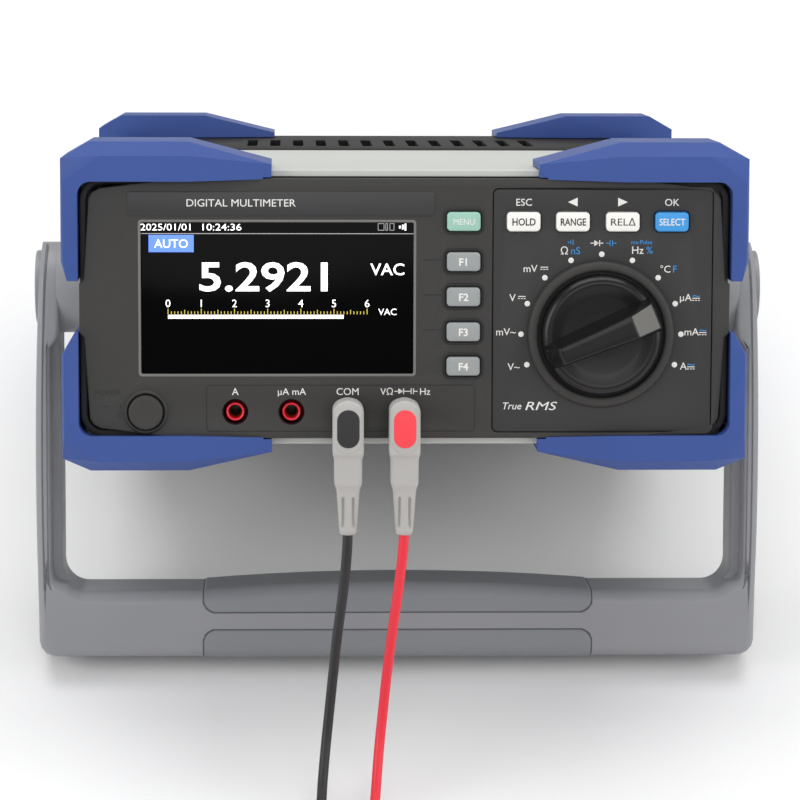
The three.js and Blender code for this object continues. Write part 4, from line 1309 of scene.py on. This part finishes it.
def plug_ring():
    """Points round a rounded rectangle: (side share, corner direction) across and in depth."""
    rows = [(s, -1, 0.0, -1.0) for s in np.linspace(-1, 1, 45)]
    rows += [(1, -1, math.cos(a), math.sin(a)) for a in np.linspace(-np.pi / 2, 0, 8)[1:]]
    rows += [(1, s, 1.0, 0.0) for s in np.linspace(-1, 1, 9)[1:]]
    rows += [(1, 1, math.cos(a), math.sin(a)) for a in np.linspace(0, np.pi / 2, 8)[1:]]
    rows += [(-s, 1, 0.0, 1.0) for s in np.linspace(-1, 1, 9)[1:]]
    rows += [(-1, 1, math.cos(a), math.sin(a)) for a in np.linspace(np.pi / 2, np.pi, 8)[1:]]
    rows += [(-1, -s, -1.0, 0.0) for s in np.linspace(-1, 1, 9)[1:]]
    rows += [(-1, -1, math.cos(a), math.sin(a)) for a in np.linspace(np.pi, 1.5 * np.pi, 8)[1:-1]]
    return np.array(rows)


def plug(name, x, inlay):
    """Rounded rectangles carried down the plug, with two grooves pressed into its tail."""
    body = name + "_plug"
    round_top = 4 * (1 - np.cos(np.linspace(0.12, np.pi / 2, 14)))
    z = PLUG_TOP - np.concatenate([round_top, np.linspace(4.3, 46.2, 110), [46.45, 46.6]])
    arch = np.sqrt(np.clip(1 - ((4 + (z - PLUG_TOP)) / 4).clip(0) ** 2, 0, 1))
    half = np.interp(-z, [29.9, 34, 47.2, 48.4, 50.2, 58.6, 60.6, 62, 75.6, 76.4, 76.5],
                     [5.25, 5.25, 5.3, 5.25, 4.75, 4.7, 4.0, 3.85, 2.95, 2.6, 2.3]) * arch
    front = np.interp(-z, [29.9, 30.6, 32, 47.4, 48.2, 49.6, 59, 61, 75.6, 76.5],
                      [-13.2, -14.1, -14.5, -14.5, -14.6, -13.55, -13.2, -12.4, -11.1, -10.4])
    rear = np.interp(-z, [29.9, 31.6, 47.6, 49.4, 59, 61, 76.5], [-3.4, -2.4, -2.3, -2.8, -3.0, -3.8, -5.6])
    corner = np.interp(-z, [29.9, 34, 48, 50, 59, 61, 76.5], [1.3, 1.5, 1.6, 1.5, 1.5, 1.4, 2.2])
    radius = np.minimum(corner, half)
    ring = plug_ring()
    middle, depth = (front + rear) / 2, (rear - front) / 2
    px = ring[:, 0] * (half - radius)[:, None] + radius[:, None] * ring[:, 2]
    py = middle[:, None] + ring[:, 1] * (depth - radius)[:, None] + radius[:, None] * ring[:, 3]
    groove = np.exp(-(((np.abs(px) - 1.7) / 0.42) ** 4)) * (ring[:, 3] < -0.9)
    reach = ease((-z - 62.8) / 1.0) * ease((74.8 + z) / 2.0)
    py += 0.9 * groove * reach[:, None]
    grid = np.stack([x + px, py, np.repeat(z[:, None], len(ring), 1)], -1)
    collar = turned([(3.45, 10), (3.45, -4), (3.72, -4), (3.72, 10)], x, JACK_Z, 40, closed=True)
    brow = prism(round_rect(9.0, 16.6, 4.3, x, -39.6, 10), -14.72, -14.0, 0.25)
    made = piece(body + "_body", [patch(grid), collar, brow], "plug", body, [body], sharp=45)
    pad = prism(round_rect(7.6, 13.0, 3.7, x, -39.5, 12), -15.0, -14.4, 0.3)
    inset_pad = piece(body + "_inlay", [pad], inlay, body)
    return [made, inset_pad]


CORD_D = 3.5
COIL_TURNS = 7.25
OUTER_TURN_R = 25.25
ROUTES = dict(
    black=[
        (-19.65, -167.3, 96.2), (-19.7, -168.1, 94.6), (-20.2, -171.3, 86), (-21.4, -173.9, 74),
        (-23, -175.5, 60), (-24.4, -177.5, 45), (-25.8, -181.5, 31), (-27.2, -188.5, 19),
        (-28.3, -198, 9.6), (-28.7, -209, 3.7), (-28.1, -221, 2), (-26.7, -232, 3), (-25.2, -241, 4.7),
        (-24.75, -248.2, 5.3),
    ],
    red=[
        (-0.45, -167.3, 96.2), (-0.5, -168.1, 94.6), (-1.2, -171.3, 86), (-2.6, -173.9, 74),
        (-4.2, -175.5, 60), (-5.8, -177.5, 45), (-7.2, -181.5, 31), (-8.6, -188.5, 19),
        (-9.7, -198, 9.6), (-10.8, -209, 3.7), (-11.9, -221, 2), (-12.8, -232, 3), (-13.2, -241, 4.7),
        (-13.25, -248.2, 5.3),
    ],
)
COIL_CENTRE = dict(black=(-50.0, -263.0), red=(12.0, -263.0))
PROBE_X, PROBE_Z = 16.2, 6.7
IN_GRIP = 52.0


def through(points, step):
    """A smooth curve through points: cubics whose slopes are the means of their chords'."""
    points = np.asarray(points, float)
    gaps = np.linalg.norm(np.diff(points, axis=0), axis=1)
    chords = np.diff(points, axis=0) / gaps[:, None]
    h0, h1 = gaps[:-1, None], gaps[1:, None]
    slopes = np.vstack([chords[:1], (chords[:-1] * h1 + chords[1:] * h0) / (h0 + h1), chords[-1:]])
    at = np.r_[0, np.cumsum(gaps)]
    where = np.linspace(0, at[-1], int(at[-1] / step) + 1)
    k = np.clip(np.searchsorted(at, where, "right") - 1, 0, len(gaps) - 1)
    h = gaps[k][:, None]
    t = ((where - at[k]) / gaps[k])[:, None]
    return (
        (2 * t**3 - 3 * t**2 + 1) * points[k]
        + (t**3 - 2 * t**2 + t) * h * slopes[k]
        + (3 * t**2 - 2 * t**3) * points[k + 1]
        + (t**3 - t**2) * h * slopes[k + 1]
    )


def coil_line(colour):
    """Two flat layers: inwards on top, down, outwards below; a step in radius once a turn."""
    side = 1 if colour == "black" else -1
    cx, cy = COIL_CENTRE[colour]
    turns = np.linspace(0, COIL_TURNS, int(COIL_TURNS * 48) + 1)
    inward = sum(ease((turns - k) / 0.25) for k in (0.70, 1.70, 2.70))
    outward = sum(ease((turns - k) / 0.25) for k in (4.25, 5.25, 6.25))
    radius = OUTER_TURN_R - CORD_D * inward + CORD_D * outward
    level = 5.3 - CORD_D * ease((turns - 3.40) / 0.25)
    angle = -2 * np.pi * turns
    return np.c_[cx + side * radius * np.cos(angle), cy + radius * np.sin(angle), level]


def lead_line(colour):
    """Route, coil, then a tangent that rises to the probe and runs on inside its grip."""
    side = 1 if colour == "black" else -1
    cx, cy = COIL_CENTRE[colour]
    coil = coil_line(colour)
    drop = through(ROUTES[colour] + [tuple(coil[0])], 2.0)[:-1]
    t = np.linspace(0, 1, 12)[1:]
    rise = 1.8 + (PROBE_Z - 1.8) * ease(t)
    tail = np.c_[cx - side * t * (PROBE_X + 0.4), np.full(len(t), cy - OUTER_TURN_R), rise]
    on = np.linspace(PROBE_X, PROBE_X + IN_GRIP, 20)[1:]
    core = np.c_[cx - side * on, np.full(len(on), cy - OUTER_TURN_R), np.full(len(on), PROBE_Z)]
    return np.vstack([drop, coil, tail, core])


def tube(line, radius):
    """A circle carried along a line, framed by a direction that turns from across to up."""
    run = np.r_[0, np.cumsum(np.linalg.norm(np.diff(line, axis=0), axis=1))]
    tangent = np.gradient(line, run, axis=0)
    tangent /= np.linalg.norm(tangent, axis=1)[:, None]
    sides = 16
    turn_start, turn_run = 95.0, 25.0
    lean = np.pi / 2 * ease((run - turn_start) / turn_run)
    guide = np.c_[np.cos(lean), np.zeros(len(line)), np.sin(lean)]
    normal = guide - (guide * tangent).sum(1)[:, None] * tangent
    normal /= np.linalg.norm(normal, axis=1)[:, None]
    other = np.cross(tangent, normal)
    angle = np.linspace(0, 2 * np.pi, sides, endpoint=False)[None, :, None]
    grid = line[:, None] + radius * (np.cos(angle) * normal[:, None] + np.sin(angle) * other[:, None])
    return patch(grid)


def in_metres(points):
    """Millimetres in the row's own frame to metres."""
    return 0.001 * np.asarray(points, float)


def probe(colour):
    """A ribbed grip, a finger guard and a nose, turned about the probe's axis."""
    side = -1 if colour == "black" else 1
    cx, cy = COIL_CENTRE[colour]
    t = np.concatenate([np.linspace(0, 12, 49), np.linspace(12.2, 80, 272), np.linspace(80.2, 101, 60)])
    core = np.interp(t, [0, 1, 12, 16, 70, 80, 81.4, 84.6, 86.5, 90, 100, 101],
                     [1.9, 2.3, 3.4, 4.3, 4.5, 4.5, 6.4, 6.4, 4.0, 3.6, 2.6, 1.6])
    sleeve_ribs = 0.25 * (np.sin(2 * np.pi * t / 2.0) > 0) * (t > 1.5) * (t < 11)
    grip_ribs = 0.12 * np.clip(np.sin(2 * np.pi * t / 1.8), -0.5, 0.5) * (t > 45) * (t < 77)
    profile = np.c_[core + sleeve_ribs + grip_ribs, t]
    profile = np.vstack([[0, 0], profile, [0, 101]])

    def lying(points):
        """The turning axis laid along x, at the probe's height."""
        x = cx + side * (PROBE_X + points[:, 1])
        return np.c_[x, cy - OUTER_TURN_R + points[:, 0], PROBE_Z + points[:, 2]]

    points, faces = turned(profile, 0, 0, 40)
    grip = piece(colour + "_probe_grip", [(lying(points), faces)], "cord_" + colour, "case",
                 [colour + "_probe"], in_metres, 50)
    tip = [(0, 100), (1.0, 100), (1.0, 116.6), (0.85, 117.8), (0.4, 118.8), (0, 119)]
    points, faces = turned(tip, 0, 0, 24)
    shape = [(lying(points), faces)]
    point = piece(colour + "_probe_tip", shape, "nickel", "case", (), in_metres)
    return [grip, point]


def lead(colour, inlay):
    """Plug, tube and probe; the tube is one free piece from its plug at the top down to the coil and probe
    near the floor.
    """
    on_cord = probe(colour) + plug(colour, JACKS["common" if colour == "black" else "volt"], inlay)
    on_cord.append(frame["nodes"][colour + "_plug_pin"])
    line = lead_line(colour)
    made = piece(colour + "_lead", [tube(line, CORD_D / 2)], "cord_" + colour, None,
                 [colour + "_cord", colour + "_coil"], in_metres, 60)
    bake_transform(made)


def cad_finishes():
    """The pieces that stay as they are in the CAD model, in their real materials."""
    looks = dict(
        lcd_module="pressed", switch_shaft="nickel", rotary_switch="ivory", power_switch="black",
        main_board="board", transformer="core", left_pivot_boss="black", right_pivot_boss="black",
        black_plug_pin="nickel", red_plug_pin="nickel",
    )
    for node, look in looks.items():
        mesh = frame["nodes"][node].data
        mesh.materials.clear()
        mesh.materials.append(FINISH[look])


add_camera()
add_studio()
FINISH = add_finishes()
lead("black", "inlay_black")
lead("red", "inlay_red")
front_bezel()
control_plate()
plate_seat()
name_strip()
panel_grooves()
keys()
key_legends()
power_button()
dial_ring()
dial()
sockets()
display()
display_figures()
panel_printing()
covers()
rear_case()
rear_panel()
guards()
handle_frame()
hub_caps()
grip_pads()
cad_finishes()
